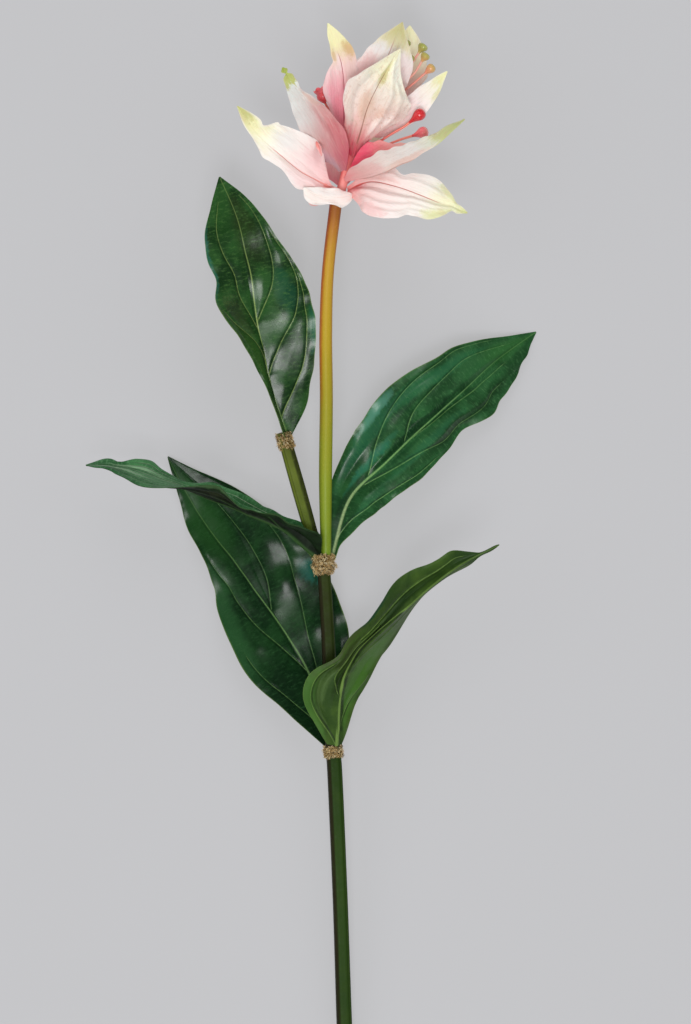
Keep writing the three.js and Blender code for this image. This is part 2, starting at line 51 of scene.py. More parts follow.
# How finely a leaf and a bract are drawn: rows and columns of points, which crowd towards the midrib,
# the thickness at the rim and in the middle, and the height and length of each kind of relief. Pillows
# lie between the veins, crinkles and creases everywhere, a frill on the rim. The rib's ridges are
# shares of its width, which runs from base to tip.
LEAF_FORM = {
    "rows": 170, "columns": 38, "edge": 0.55, "middle": 0.8, "crowding": 1.2,
    "pillow": 1.9, "pillow_reach": 6.0, "crinkle": 0.5, "crinkle_length": 34, "crease": 0.07,
    "crease_length": 14, "frill": 0.7, "frill_length": 23,
    "rib_below": 0.55, "rib_above": 0.12, "vein_below": 0.4, "rib_width": [1.6, 0.9, 0.6, 0.4],
}
BRACT_FORM = {
    "rows": 100, "columns": 28, "edge": 0.45, "middle": 0.7, "crowding": 1.0,
    "pillow": 0.7, "pillow_reach": 5.0, "crinkle": 0.4, "crinkle_length": 26, "crease": 0.28,
    "crease_length": 9, "frill": 0.6, "frill_length": 17,
    "rib_below": 0.5, "rib_above": 0.0, "vein_below": 0.0, "rib_width": [1.2, 0.8, 0.6, 0.4],
}
# Nothing lies lower than this, no half of a blade is narrower, and a mesh edge that folds further is
# drawn sharp
LOWEST = 0.05
NARROWEST = 0.3
SHARP_FOLD = math.radians(62)
MIDDLE = [0, 0]
HARDLY_CURLED = [0.01, 0.01]
NO_WAVE = [0, 1, 0]
# A finish takes up to six veins a blade. Where one is missing, it counts as this far away: in
# millimetres for the pillows, and in widths of it for the finish.
MOST_VEINS = 6
NO_VEIN_MM = 40
NO_VEIN_WIDTHS = 60.0
LEAF_SEED = 3
BRACT_SEED = 20
TUFT_SEED = 40

# Leaves, as in the CAD source: the midrib's curve, or spine, and the way that the upper face looks.
# Left and right halves have a half width, a fold out of that face in degrees, a curl, which bends them
# further towards the rim, a wave of the rim as [height, number, start], and dents as [place along,
# more width, spread]. For the look alone, rib is how far out the rib is drawn, as a share of the half
# width, and a vein is [start, end, places]: the shares of the midrib where it starts and ends, and
# evenly between them how far out it lies, negative in the left half. Folds are long ones, [start, end,
# places, height, spread], and swells are round, [place along, place out, height, spread].
LEAVES = {
    "leaf_branch": {
        "spine": [
            [-43.8, 500.5, 45.4], [-55, 534, 52], [-62, 566, 57], [-70, 600, 60], [-76, 633, 61],
            [-83, 664, 59], [-94, 694, 54],
        ],
        "face": [
            [0.6, 0, 0.8], [0.64, 0, 0.77], [0.53, 0, 0.85], [0.3, 0, 0.95], [0.12, 0, 0.99],
            [0, 0, 1], [0, 0, 1],
        ],
        "left_width": [3, 9, 13, 19, 26, 31, 28, 27, 24, 14, 0.5],
        "right_width": [3, 22, 33, 40, 43, 43, 38, 29, 21, 12, 0.5],
        "left_fold": [40, 40, 32, 18, 8, 5, 5],
        "right_fold": [32, 33, 28, 16, 8, 5, 5],
        "left_wave": [4, 2.5, 0.1],
        "right_wave": [3, 2, 0.6],
        "rib": [0, 0, 0, 0, 0.01, 0.05, 0.08, 0.08, 0.1, 0.1, 0.1],
        "left_dents": [[0.05, 6, 0.06], [0.23, -2.6, 0.06], [0.6, -4, 0.05]],
        "right_dents": [[0.08, 4, 0.07], [0.3, -2.5, 0.06], [0.55, 1.2, 0.08]],
        "swells": [
            [0.57, 0.14, 1.3, 9], [0.44, 0.57, 1.3, 8], [0.32, 0.22, 1.4, 9], [0.17, 0.27, 1.3, 8],
            [0.46, -0.8, 1.2, 7],
        ],
        "veins": [
            [0.06, 0.66, [0, 0.58, 0.79, 0.84, 0.88, 0.93, 0.97]],
            [0.22, 0.82, [0, 0.28, 0.67, 0.84, 0.92, 0.93, 0.9]],
            [0.42, 0.98, [0, 0.37, 0.6, 0.74, 0.78, 0.6]],
            [0.4, 0.98, [0, -0.27, -0.42, -0.6, -0.63, -0.5]],
            [0.2, 0.52, [0, -0.04, -0.3, -0.78, -0.92]],
        ],
        "rib_width": [2.6, 1.5, 1.1, 0.9, 0.7, 0.5],
    },
    "leaf_right": {
        "spine": [
            [-10.2, 408.5, 38.2], [3, 453, 34], [30, 481, 30], [57, 507, 25], [86, 533, 18],
            [114, 559, 10], [145, 581, 0.2],
        ],
        "face": [
            [0, 0, 1], [0, 0, 1], [0.1, -0.1, 1], [0.15, -0.15, 1], [0.2, -0.2, 1],
            [0.15, -0.15, 1], [0, 0, 1],
        ],
        "left_width": [3, 13, 26, 34, 40, 41, 39, 33, 24, 11, 0.5],
        "right_width": [3, 15, 24, 26, 27, 26, 22, 29, 24, 13, 0.5],
        "left_fold": [0, 0, 0, 5, 8, 5, 5],
        "right_fold": [35, 25, 14, 8, 5, 5, 5],
        "left_wave": [3, 2.5, 0.3],
        "right_wave": [4, 3, 0.15],
        "left_dents": [[0.2, -5.5, 0.09], [0.38, -2.6, 0.06], [0.74, 2.2, 0.05]],
        "folds": [
            [0.2, 0.75, [0.35, 0.45, 0.5, 0.45], 2.8, 4],
            [0.35, 0.92, [0.1, 0.12, 0.14, 0.14], -1.8, 1.8],
            [0.25, 0.9, [-0.14, -0.16, -0.16], 1.8, 2.8], [0.12, 0.7, [-0.5, -0.6, -0.72], -2.2, 4.5],
            [0.5, 0.95, [0.5, 0.55, 0.5], 1.0, 2.5],
        ],
        "swells": [[0.34, -0.85, 2.4, 12], [0.62, -0.8, 1.8, 12], [0.12, -0.5, 1.5, 9]],
        "right_dents": [
            [0.04, -4, 0.03], [0.15, 3, 0.04], [0.3, -1.4, 0.05], [0.54, 2.1, 0.05], [0.68, -1, 0.03],
            [0.75, -2.4, 0.03], [0.86, 2, 0.03], [0.93, 1.6, 0.02],
        ],
        "veins": [
            [0.25, 0.95, [0, -0.42, -0.63, -0.77, -0.86, -0.9, -0.88, -0.8]],
            [0.42, 0.96, [-0.02, -0.32, -0.44, -0.54, -0.57, -0.46, -0.3]],
            [0.22, 0.88, [0.05, 0.28, 0.47, 0.74, 0.72, 0.64, 0.78]],
            [0.44, 0.92, [0, 0.12, 0.18, 0.26, 0.3]],
            [0.04, 0.54, [0, 0.6, 0.73, 0.82, 0.89, 0.93]],
        ],
        "rib_width": [2.7, 2.2, 1.5, 1.1, 0.9, 0.7, 0.5],
    },
    "leaf_low_left": {
        "spine": [
            [-12.5, 267, 23.3], [-24, 309, 13], [-43, 346, 8], [-62, 384, 5], [-79, 423, 2.5],
            [-104, 457, 0.2], [-135, 486, 5],
        ],
        "face": [[0, 0, 1], [0, 0, 1]],
        "left_width": [3, 24, 35, 41, 41, 39, 34, 32, 29, 17, 0.5],
        "right_width": [3, 18, 36, 47, 50, 47, 39, 29, 19, 8, 0.5],
        "left_fold": [30, 22, 14, 10, 8, 8, 8],
        "right_fold": [8, 2, 4, 6, 8, 8, 8],
        "left_wave": [3, 3, 0.2],
        "right_wave": [3, 2.5, 0.6],
        "left_dents": [[0.55, -1.7, 0.03]],
        "pillow": 1.3,
        "swells": [
            [0.63, 0.44, 1.6, 10], [0.5, 0.38, 1.6, 9], [0.36, -0.43, 3.2, 9], [0.58, 0.88, 1.3, 7],
            [0.33, 0.5, 1.5, 7], [0.27, -0.85, 1.4, 7], [0.36, 0.85, 1.4, 8],
        ],
        "right_dents": [[0.18, -3.8, 0.06], [0.35, -2, 0.07]],
        "rib": [0, 0, 0.05, 0.04, -0.02, -0.14, -0.34, -0.5, -0.54, -0.6, -0.6],
        "veins": [
            [0.1, 0.8, [0.05, 0.22, 0.3, 0.42, 0.54, 0.7, 0.76, 0.8]],
            [0.43, 0.93, [-0.04, 0.13, 0.12, 0.07, 0.02, -0.1]],
            [0.22, 0.72, [0.05, -0.16, -0.42, -0.6, -0.85, -0.93]],
            [0.03, 0.39, [0, -0.55, -0.72, -0.8, -0.86]],
        ],
        "rib_width": [2.6, 1.6, 1.1, 0.9, 0.7, 0.5],
    },
    "leaf_left": {
        "spine": [
            [-20.5, 409.2, 44.4], [-49, 431, 52], [-76, 444, 54], [-105, 455, 54], [-135, 467, 54],
            [-165, 477, 52], [-194, 479, 49],
        ],
        "face": [
            [0.2, 0.95, -0.15], [0.1, 0.97, -0.2], [0.1, 0.97, -0.1], [0, 0.96, 0.15], [0, 0.93, 0.3],
            [0, 0.9, 0.4], [0, 0.9, 0.4],
        ],
        "left_width": [
            3, 16, 12.5, 9, 12.5, 12.5, 13, 11, 20, 32, 32, 30, 30, 29, 27, 24.5, 21, 16, 11, 6, 0.5,
        ],
        "right_width": [
            3, 18, 18, 15.5, 13.5, 13.5, 14, 13.5, 16, 17, 18, 15, 13, 13, 14, 18, 12.5, 6, 8.5, 7, 0.5,
        ],
        "left_fold": [40, 32, 28, 22, 4, 8, 10],
        "right_fold": [85, 72, 45, 30, 18, 12, 10],
        "left_wave": [4, 2, 0.1],
        "right_wave": [3, 2, 0.5],
        "veins": [
            [0.3, 0.97, [0, -0.3, -0.4, -0.42, -0.3]],
            [0.14, 0.93, [0, -0.6, -0.68, -0.7, -0.66]],
            [0.3, 0.97, [0, 0.3, 0.42, 0.42, 0.3]],
            [0.1, 0.9, [0, 0.6, 0.72, 0.72, 0.66]],
            [0.45, 0.96, [0.08, 0.16, 0.2, 0.1]],
            [0.45, 0.96, [-0.08, -0.16, -0.2, -0.1]],
        ],
        "folds": [
            [0.02, 0.6, [-0.3, -0.4, -0.5], 2.6, 2.2], [0.1, 0.55, [-0.7, -0.75, -0.8], -1.8, 2],
            [0.15, 0.5, [0.4, 0.5, 0.5], 1.6, 2.5],
        ],
        "rib_width": [2.4, 1.6, 1.2, 0.9, 0.7, 0.5],
    },
    "leaf_front": {
        "spine": [
            [-6.8, 269, 36.4], [-5, 306, 57], [10, 337, 72], [33, 361, 82], [56, 383, 88],
            [83, 404, 90], [113, 420, 90],
        ],
        "face": [[0, 0, -1], [0, 0, -1]],
        "left_width": [4, 15, 25, 30, 30, 28, 25, 21, 15, 8, 0.5],
        "right_width": [7.5, 24, 28, 21, 24, 26, 26, 20, 14, 7, 0.5],
        "left_fold": [18, 35, 48, 60, 66, 75, 82, 85, 80, 60, 30],
        "right_fold": [4, 12, 8, 35, 60, 55, 42, 25, 25, 25, 20],
        "left_dents": [[0.66, -2.4, 0.03], [0.92, -4, 0.04]],
        "right_dents": [
            [0.07, -3, 0.05], [0.27, -7, 0.06], [0.45, 1.3, 0.04], [0.76, -1.5, 0.04],
            [0.84, 2.5, 0.03], [0.93, -4, 0.04],
        ],
        "folds": [
            [0.16, 0.9, [0.14, 0.24, 0.26, 0.22], 3.2, 2.4],
            [0.1, 0.8, [0.45, 0.52, 0.5, 0.5], -2.2, 1.8],
            [0.04, 0.32, [-0.3, -0.45, -0.5], 1.6, 3], [0.04, 0.3, [0.4, 0.6, 0.62], 1.8, 2.5],
        ],
        "rib": [0, -0.1, 0, 0.15, 0.16, 0.1, 0, 0, 0, 0, 0],
        "veins": [
            [0, 0.3, [0.12, 0.6, 0.76, 0.78, 0.76, 0.7]],
            [0.17, 0.5, [0, 0.34, 0.46, 0.42, 0.36, 0.34, 0.3]],
            [0.36, 0.95, [0.5, 0.5, 0.47, 0.47, 0.5, 0.5]],
            [0.04, 0.28, [-0.1, -0.4, -0.62, -0.8, -0.88]],
            [0.3, 0.95, [-0.02, -0.3, -0.45, -0.5, -0.45]],
        ],
        "rib_width": [2.2, 1.5, 1.1, 0.9, 0.8, 0.6, 0.5],
    },
}

# Bracts, as in the CAD source
BRACTS = {
    "bract_low_left": {
        "spine": [
            [-5.1, 680.9, 68.8], [-19, 688, 75], [-34, 696, 79], [-50, 709, 82], [-65, 723, 81],
            [-80, 744, 77],
        ],
        "face": [[-0.2, 0.4, 0.8], [0, 0.3, 0.95], [0, 0.2, 1], [0, 0.2, 1], [0, 0.2, 1], [0, 0.2, 1]],
        "left_width": [9, 16, 20, 17, 11, 8, 9, 8, 5, 4, 0.5],
        "right_width": [4, 7, 14, 23, 26, 25, 22, 18, 11, 7, 0.5],
        "left_fold": [10, 5, -5, -10, 0, 8, 10, 10, 10, 10, 10],
        "right_fold": [20, 20, 10, 4, 8, 10, 10, 10, 10, 10, 10],
        "left_dents": [[0.08, -3, 0.06], [0.28, -7, 0.06], [0.66, 1.8, 0.04]],
        "right_dents": [[0.12, -4.5, 0.1], [0.76, 3, 0.025], [0.82, -2.5, 0.025]],
        "folds": [
            [0.1, 0.6, [-0.3, -0.35, -0.45, -0.5], 2.2, 2.6], [0.3, 0.8, [0.5, 0.55, 0.45], 1.8, 3.4],
            [0.2, 0.7, [0.2, 0.24, 0.2], -1.3, 2.2],
        ],
    },
    "bract_low_right": {
        "spine": [
            [1.8, 682.5, 66.1], [18, 688, 77], [37, 684, 84], [56, 677, 86], [74, 670, 83], [90, 665, 78],
        ],
        "face": [[0.2, 0.4, 0.8], [0, 0.3, 0.95], [0, 0.2, 1], [0, 0.2, 1], [0, 0.2, 1], [0, 0.2, 1]],
        "left_width": [3, 5, 8, 11, 12, 14, 16, 15, 10, 5, 0.5],
        "right_width": [3, 16, 25, 29, 28, 24, 18, 16, 9, 4, 0.5],
        "fold": [20, 12, 10, 10, 10, 10],
        "left_dents": [[0.35, 1.8, 0.03], [0.43, -2.8, 0.04], [0.88, -1.5, 0.04]],
        "right_dents": [[0.16, 3, 0.06], [0.55, -2, 0.03], [0.85, -3.2, 0.04]],
        "folds": [
            [0.05, 0.85, [0.25, 0.34, 0.3, 0.25], 2.4, 2], [0.1, 0.8, [0.5, 0.6, 0.55, 0.5], 2.2, 1.9],
            [0.25, 0.95, [0.8, 0.82, 0.7, 0.5], 1.9, 2], [0.3, 0.75, [-0.6, -0.5, -0.4], 2.2, 2.6],
            [0.1, 0.7, [0.12, 0.16, 0.14], -1.4, 1.6],
        ],
    },
    "bract_back_low": {
        "spine": [
            [-2.6, 686.4, 60], [-3, 699, 42], [2, 712, 30], [9, 725, 25], [17, 737, 25], [24, 750, 30],
        ],
        "face": [[0, 0.4, 1], [0, 0.3, 1]],
        "width": [4, 14, 20, 24, 26, 26, 23, 18, 13, 7, 0.5],
        "fold": [20, 18, 15, 12, 10, 10],
    },
    "bract_mid_left": {
        "spine": [
            [-2.6, 696.9, 68], [-11, 713, 79], [-20, 731, 91], [-31, 747, 103], [-40, 759, 110],
            [-46, 768, 113],
        ],
        "face": [
            [0.5, 0.3, -0.8], [0.4, 0.3, -0.9], [0.3, 0.3, -0.9], [0.3, 0.2, -0.9], [0.3, 0.2, -0.9],
            [0.3, 0.2, -0.9],
        ],
        "left_width": [4, 10, 15, 16, 13, 10, 7, 5, 4, 4, 0.5],
        "right_width": [4, 12, 15, 16, 16, 14, 11, 8, 5, 4, 0.5],
        "fold": [0.5, 0.5],
        "left_dents": [[0.66, -3, 0.07], [0.9, -3, 0.03], [0.96, 0.6, 0.02]],
        "right_dents": [[0.06, -4, 0.05], [0.9, -3.6, 0.03], [0.96, 0.6, 0.02]],
        "rib_width": [0.5, 0.5],
        "folds": [[0.1, 0.6, [-0.4, -0.45, -0.4], -1.4, 2.4], [0.15, 0.65, [0.45, 0.5, 0.4], 1.2, 2.4]],
    },
    "bract_mid_right": {
        "spine": [
            [0.6, 689.7, 69.3], [20, 691, 88], [38, 698, 96], [54, 705, 102], [69, 715, 106],
            [87, 731, 108],
        ],
        "face": [[-0.45, 0.85, 0.05], [-0.5, 0.85, 0.1]],
        "left_width": [3, 9, 17, 18, 14, 12, 11, 10, 9, 6, 0.5],
        "right_width": [3, 12, 16, 17, 17, 16, 15, 13, 10, 7, 0.5],
        "left_fold": [78, 76, 70, 66, 62, 58, 56, 56, 54, 50, 40],
        "right_fold": [50, 58, 60, 60, 58, 55, 52, 50, 46, 40, 30],
        "left_dents": [[0.14, 10, 0.1], [0.32, 7, 0.1], [0.5, 3.5, 0.1]],
        "right_dents": [[0.8, -1.5, 0.04]],
    },
    "bract_front": {
        "spine": [
            [5.5, 707.2, 72.2], [12, 726, 96], [17, 742, 103], [24, 756, 106], [31, 768, 105],
            [40, 783, 100.5],
        ],
        "face": [[0, 0.3, -0.9], [0, 0.2, -1], [0, 0.1, -1], [0, 0, -1], [0, 0, -1], [0, -0.1, -1]],
        "left_width": [3.5, 10, 24, 31, 33, 32, 28, 23, 15, 7, 0.5],
        "right_width": [3.5, 9, 15, 20, 23, 24, 19, 16, 12, 7, 0.5],
        "fold": [20, 20, 18, 15, 20, 20],
        "curl": [20, 20],
        "right_dents": [[0.12, 3.5, 0.07], [0.3, -1, 0.05]],
        "left_dents": [[0.58, 1.6, 0.04]],
        "folds": [
            [0.12, 0.9, [-0.35, -0.42, -0.4, -0.25], -3, 2.4],
            [0.2, 0.75, [-0.68, -0.7, -0.6], -2.4, 2.4],
            [0.15, 0.7, [0.45, 0.5, 0.45], -2.2, 2.6], [0.2, 0.85, [0.16, 0.2, 0.16], 1.6, 2],
        ],
    },
    "bract_left_fold": {
        "spine": [
            [0.9, 713.5, 67], [-1, 734, 72], [-1, 756, 76], [-3, 775, 79], [-8, 789, 80], [-13, 805, 79],
        ],
        "face": [
            [0.7, 0, 0.7], [0.35, -0.1, 0.9], [0.25, -0.1, 0.95], [0.2, -0.1, 0.95], [0.1, -0.1, 1],
            [0, 0, 1],
        ],
        "left_width": [2, 4.6, 8, 13.2, 17.1, 14.8, 10.4, 6.3, 3.8, 3, 0.5],
        "right_width": [2.5, 4, 5, 7, 9, 11, 12, 12, 10, 6, 0.5],
        "left_fold": [10, 10],
        "right_fold": [30, 30, 30, 25, 20, 10],
        "left_dents": [[0.64, -2.6, 0.05]],
        "right_dents": [[0.2, 5, 0.1], [0.32, 4, 0.08]],
    },
    "bract_right_up": {
        "spine": [
            [14.4, 727.5, 68.5], [28, 731, 74], [42, 739, 79], [54, 747, 82], [65, 757, 83],
            [75, 769, 83],
        ],
        "face": [[0, 0, 1], [0, 0, 1]],
        "left_width": [3, 8, 9, 9, 9, 8, 8, 8, 6, 4, 0.5],
        "right_width": [3, 8, 10, 11, 11, 11, 10, 8, 6, 3, 0.5],
        "fold": [20, 15, 12, 10, 10, 10],
    },
    "bract_back_high": {
        "spine": [
            [14.2, 739.3, 64.2], [18, 753, 50], [21, 766, 42], [27, 777, 38], [32, 788, 38],
            [36, 798, 42],
        ],
        "face": [[0, 0.4, 1], [0, 0.3, 1]],
        "width": [4, 10, 15, 18, 20, 20, 18, 14, 10, 6, 0.5],
        "fold": [20, 18, 15, 12, 10, 10],
    },
    "bract_top_back": {
        "spine": [
            [20.2, 744.4, 65.1], [30, 755, 58], [39, 768, 54], [44, 781, 52], [47, 793, 52],
            [48, 807, 53],
        ],
        "face": [[-0.2, 0, 1], [-0.2, 0, 1], [-0.2, 0, 1], [-0.1, 0, 1], [0, 0, 1], [0, 0, 1]],
        "left_width": [3, 8, 12, 14, 15, 15, 14, 13, 11, 6, 0.5],
        "right_width": [4, 9, 13, 16, 19, 21, 18, 15, 11, 6, 0.5],
        "fold": [15, 10, 8, 8, 8, 8],
    },
    "bract_top": {
        "spine": [
            [14.6, 740.2, 71.8], [20, 752, 82], [25, 766, 87], [31, 779, 89], [36, 791, 88],
            [42, 805, 84],
        ],
        "face": [[0, 0.3, -0.9], [0, 0.2, -1], [0, 0.1, -1], [0, 0, -1], [0, 0, -1], [0, 0, -1]],
        "left_width": [4, 14, 20, 22, 23, 22, 21, 18, 13, 7, 0.5],
        "right_width": [3, 7, 12, 16, 20, 18, 17, 14, 11, 6, 0.5],
        "fold": [20, 20, 18, 15, 15, 15],
    },
}

# Small lobes that belong to a bract. "counts_as" is the stretch of the bract whose colour they have,
# and with a "rib" beyond 1 they show none.
LOBES = {
    "bract_low_left": [
        {
            "spine": [
                [5, 678, 73], [-3, 676, 77.5], [-13, 675.5, 80.5], [-23, 678, 82.5], [-31, 683, 83],
            ],
            "face": [[0, 0.1, 1], [0, 0.1, 1]],
            "left_width": [2, 5, 6.5, 5, 4.4, 5.8, 7.2, 5.6, 0.5],
            "left_wave": [1.8, 2.6, 0.1],
            "right_wave": [1, 2.6, 0.3],
            "right_width": [2, 5, 7.5, 8, 8, 7.5, 6.5, 4, 0.5],
            "left_fold": [-8, -8],
            "right_fold": [-4, -10],
            "rib": [3, 3],
            "folds": [[0.1, 0.9, [0.2, 0.1, 0.2], -0.8, 2], [0.3, 0.7, [0.9, 0.9], 0.8, 2]],
            "counts_as": (0.52, 0.6),
            "frill": 0.2,
        },
        {
            "spine": [[-21.5, 717.5, 80], [-19, 712.5, 80.5], [-17.6, 707, 80]],
            "face": [[-0.6, 0, 0.8], [-0.6, 0, 0.8]],
            "left_width": [0.4, 2.2, 2.6, 1.6, 0.4],
            "right_width": [0.4, 1.6, 1.8, 1.2, 0.4],
            "fold": [30, 30],
            "rib": [3, 3],
            "counts_as": (0.02, 0.1),
        },
    ],
}

# Stems, as in the CAD source: paths and radii. Of those with four corners, the corners stand out by a
# share of the radius, and the first is turned up from the right.
STEMS = {
    "stem": {
        "path": [
            [1.5, -6, 6], [-1, 59, 12], [-4, 151, 19], [-8, 246, 27], [-10, 272, 29.5], [-13, 348, 36],
            [-16, 397, 40.5], [-16.5, 413, 42],
        ],
        "radii": [6, 5.8, 5.6, 5.6, 5.4, 5, 4.8, 4.6],
        "steps": 220,
    },
    "side_branch": {
        "path": [[-20, 408, 36], [-34.4, 459, 41], [-47, 503.5, 46]],
        "radii": [4.6, 5.2, 4.8],
        "steps": 60,
    },
    "flower_stalk": {
        "path": [
            [-14.6, 407, 42], [-15, 468, 46], [-14.3, 528, 50], [-14.7, 578, 54], [-13, 624, 58],
            [-7.2, 673.5, 62.3],
        ],
        "radii": [3.8, 4.9, 4.9, 4.8, 4.5, 4.6],
        "steps": 140,
    },
    "flower_axis": {
        "path": [
            [-7.2, 672, 62.1], [-3.3, 683, 64], [1, 699, 67], [5.6, 713, 68], [12, 735, 68],
            [20, 753, 68], [27, 768, 68],
        ],
        "radii": [4, 3.6, 3.2, 3, 2.6, 2.2, 1.5],
        "steps": 80,
    },
}
CORNERS = 0.07
CORNER_TURN = math.radians(40)

# Fibre tufts: the stem that each rings, from and to which share of it, and how thick the ring is
TUFTS = {
    "tuft_lower": {"on": "stem", "from": 0.488, "to": 0.56, "wall": 1.45, "fibres": 720},
    "tuft_middle": {"on": "stem", "from": 0.857, "to": 1.0, "wall": 3.9, "fibres": 1250},
    "tuft_branch": {"on": "side_branch", "from": 0.86, "to": 1.0, "wall": 0.95, "fibres": 520},
}

# Bud sprays: each stalk's path, the bud's length and radius, and its ripeness from 0, green, to 1, red
SPRAYS = {
    "bud_spray_right": [
        [[[5.7, 701.5, 70.4], [14, 708, 72], [23, 716, 78], [34, 723, 82], [43, 728, 84], [47, 731, 85]],
         14, 4.3, 1.0],
        [[[5.7, 701.5, 70.4], [15, 706, 72.5], [25, 712.5, 78.5], [39, 718, 84], [49, 721, 86]],
         12.5, 4.2, 0.8],
    ],
    "bud_spray_left": [
        [[[4.1, 719.4, 64.7], [-1, 724, 61.5], [-7, 731, 65], [-11.5, 740, 71.5], [-15, 746.5, 75]],
         11, 4.2, 0.86],
    ],
    "bud_spray_top": [
        [[[22.7, 750.1, 69.5], [34.5, 752, 71], [46, 758, 72], [58, 768, 73]], 10, 3.4, 0.48],
        [[[22.7, 750.1, 69.5], [37, 758, 71], [50, 768, 71.5], [56, 777, 72]], 8, 3.5, 0.3],
        [[[22.7, 750.1, 69.5], [36, 761, 68], [47, 774, 68], [54, 784, 68.5]], 8.5, 3.8, 0.1],
        [[[22.7, 750.1, 69.5], [34, 763, 72.5], [45, 776, 75]], 7.5, 3, 0.25],
        [[[22.7, 750.1, 69.5], [33, 767, 69], [43, 787, 68]], 8, 3.2, 0.05],
    ],
    "bud_spray_back": [
        [[[8.2, 722, 63], [4, 733, 52], [2, 742, 46]], 11, 4.4, 1.0],
        [[[8.2, 722, 63], [12, 734, 50], [10, 748, 41]], 11, 4.2, 0.9],
        [[[8.2, 722, 63], [24, 731, 54], [38, 740, 48]], 11, 4.4, 0.95],
    ],
}
BUD_STALK_RADIUS = 1.1
BUD_STALK_SHAPE = [1.15, 0.95, 0.8, 0.85, 1.0]


# Numbers


def along(values, share):
    """The value at a share of an evenly spread list, on a smooth curve through all its entries."""
    values = np.asarray(values, float)
    share = np.asarray(share, float)
    last = len(values) - 1
    place = np.clip(share, 0, 1) * last
    i = np.minimum(place.astype(int), last - 1)
    t = place - i
    ends = np.concatenate([2 * values[:1] - values[1:2], values, 2 * values[-1:] - values[-2:-1]])
    if values.ndim > 1:
        t = t[..., None]
    before, here, after, beyond = ends[i], ends[i + 1], ends[i + 2], ends[i + 3]
    return 0.5 * (
        2 * here
        + (after - before) * t
        + (2 * before - 5 * here + 4 * after - beyond) * t ** 2
        + (3 * here - before - 3 * after + beyond) * t ** 3
    )


def unit(vectors):
    return vectors / np.maximum(np.linalg.norm(vectors, axis=-1, keepdims=True), 1e-9)


def direction_along(path, share):
    step = 0.001
    return unit(along(path, np.clip(share + step, 0, 1)) - along(path, np.clip(share - step, 0, 1)))


def soft_step(low, high, value):
    t = np.clip((value - low) / (high - low), 0, 1)
    return t * t * (3 - 2 * t)


def ripples(seed, x, y, length, count=6):
    """Smooth bumps from -1 to 1 about a length apart: a few seeded waves laid over each other."""
    random = np.random.default_rng(seed)
    total = np.zeros_like(x)
    for _ in range(count):
        turn = random.uniform(0, 2 * math.pi)
        pitch = length * random.uniform(0.7, 1.5)
        start = random.uniform(0, 2 * math.pi)
        total += np.sin(2 * math.pi * (x * math.cos(turn) + y * math.sin(turn)) / pitch + start)
    return total / math.sqrt(2 * count)


# Meshes


def put_in_scene(name, data):
    thing = bpy.data.objects.new(name, data)
    bpy.context.scene.collection.objects.link(thing)
    return thing


def add_piece(name, node, slot, finish, points, faces, fields):
    """A mesh piece that stands for a CAD node. Points are in layout millimetres."""
    mesh = bpy.data.meshes.new(name)
    mesh.from_pydata(((points + LAYOUT_TO_PART) * MM).tolist(), [], faces)
    for field, values in fields.items():
        kind, entry = ("FLOAT_VECTOR", "vector") if values.ndim == 2 else ("FLOAT", "value")
        layer = mesh.attributes.new(field, kind, "POINT")
        layer.data.foreach_set(entry, values.astype(np.float32).ravel())
    mesh.validate()
    mesh.shade_smooth()
    mesh.set_sharp_from_angle(angle=SHARP_FOLD)
    mesh.materials.append(finish)
    piece = put_in_scene(name, mesh)
    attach(piece, "root")
    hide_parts(node)


def closed_sheet(upper, lower):
    """Points and faces of a thin closed sheet between two grids of points."""
    rows, columns = upper.shape[:2]
    count = rows * columns
    at = np.arange(count).reshape(rows, columns)
    quads = np.stack([at[:-1, :-1], at[:-1, 1:], at[1:, 1:], at[1:, :-1]], -1).reshape(-1, 4)
    rim = np.concatenate([at[0, :-1], at[:-1, -1], at[-1, :0:-1], at[:0:-1, 0]])
    following = np.roll(rim, -1)
    sides = np.stack([rim + count, following + count, following, rim], -1)
    faces = np.concatenate([quads, quads[:, ::-1] + count, sides]).tolist()
    return np.concatenate([upper.reshape(-1, 3), lower.reshape(-1, 3)]), faces


def closed_tube(rings):
    """Points and faces of a tube round a list of rings, closed at both ends."""
    steps, sides = rings.shape[:2]
    at = np.arange(steps * sides).reshape(steps, sides)
    turned = np.roll(at, -1, axis=1)
    quads = np.stack([at[:-1], at[1:], turned[1:], turned[:-1]], -1).reshape(-1, 4)
    faces = quads.tolist()
    faces.append(at[0].tolist())
    faces.append(at[-1, ::-1].tolist())
    return rings.reshape(-1, 3), faces


def round_about(centre, level, upright, out, turn):
    """Points at turns and distances out from a centre, in the plane of two directions."""
    return centre + (out * np.cos(turn))[..., None] * level + (out * np.sin(turn))[..., None] * upright


def joined(parts):
    """Several (points, faces, fields) as one."""
    points, faces, fields = [], [], {}
    count = 0
    for some_points, some_faces, some_fields in parts:
        points.append(some_points)
        faces.extend([[i + count for i in face] for face in some_faces])
        for field, values in some_fields.items():
            fields.setdefault(field, []).append(values)
        count += len(some_points)
    return np.concatenate(points), faces, {field: np.concatenate(runs) for field, runs in fields.items()}


# Blades


def of_half(blade, half, what, default=None):
    """What one half of a blade has of its own, or else what both halves have."""
    return blade.get(f"{half}_{what}", blade.get(what, default))


def half_width(blade, share, half):
    width = along(of_half(blade, half, "width"), share)
    for place, more, spread in of_half(blade, half, "dents", []):
        width = width + more * np.exp(-((share - place) / spread) ** 2)
    return np.maximum(width, NARROWEST)


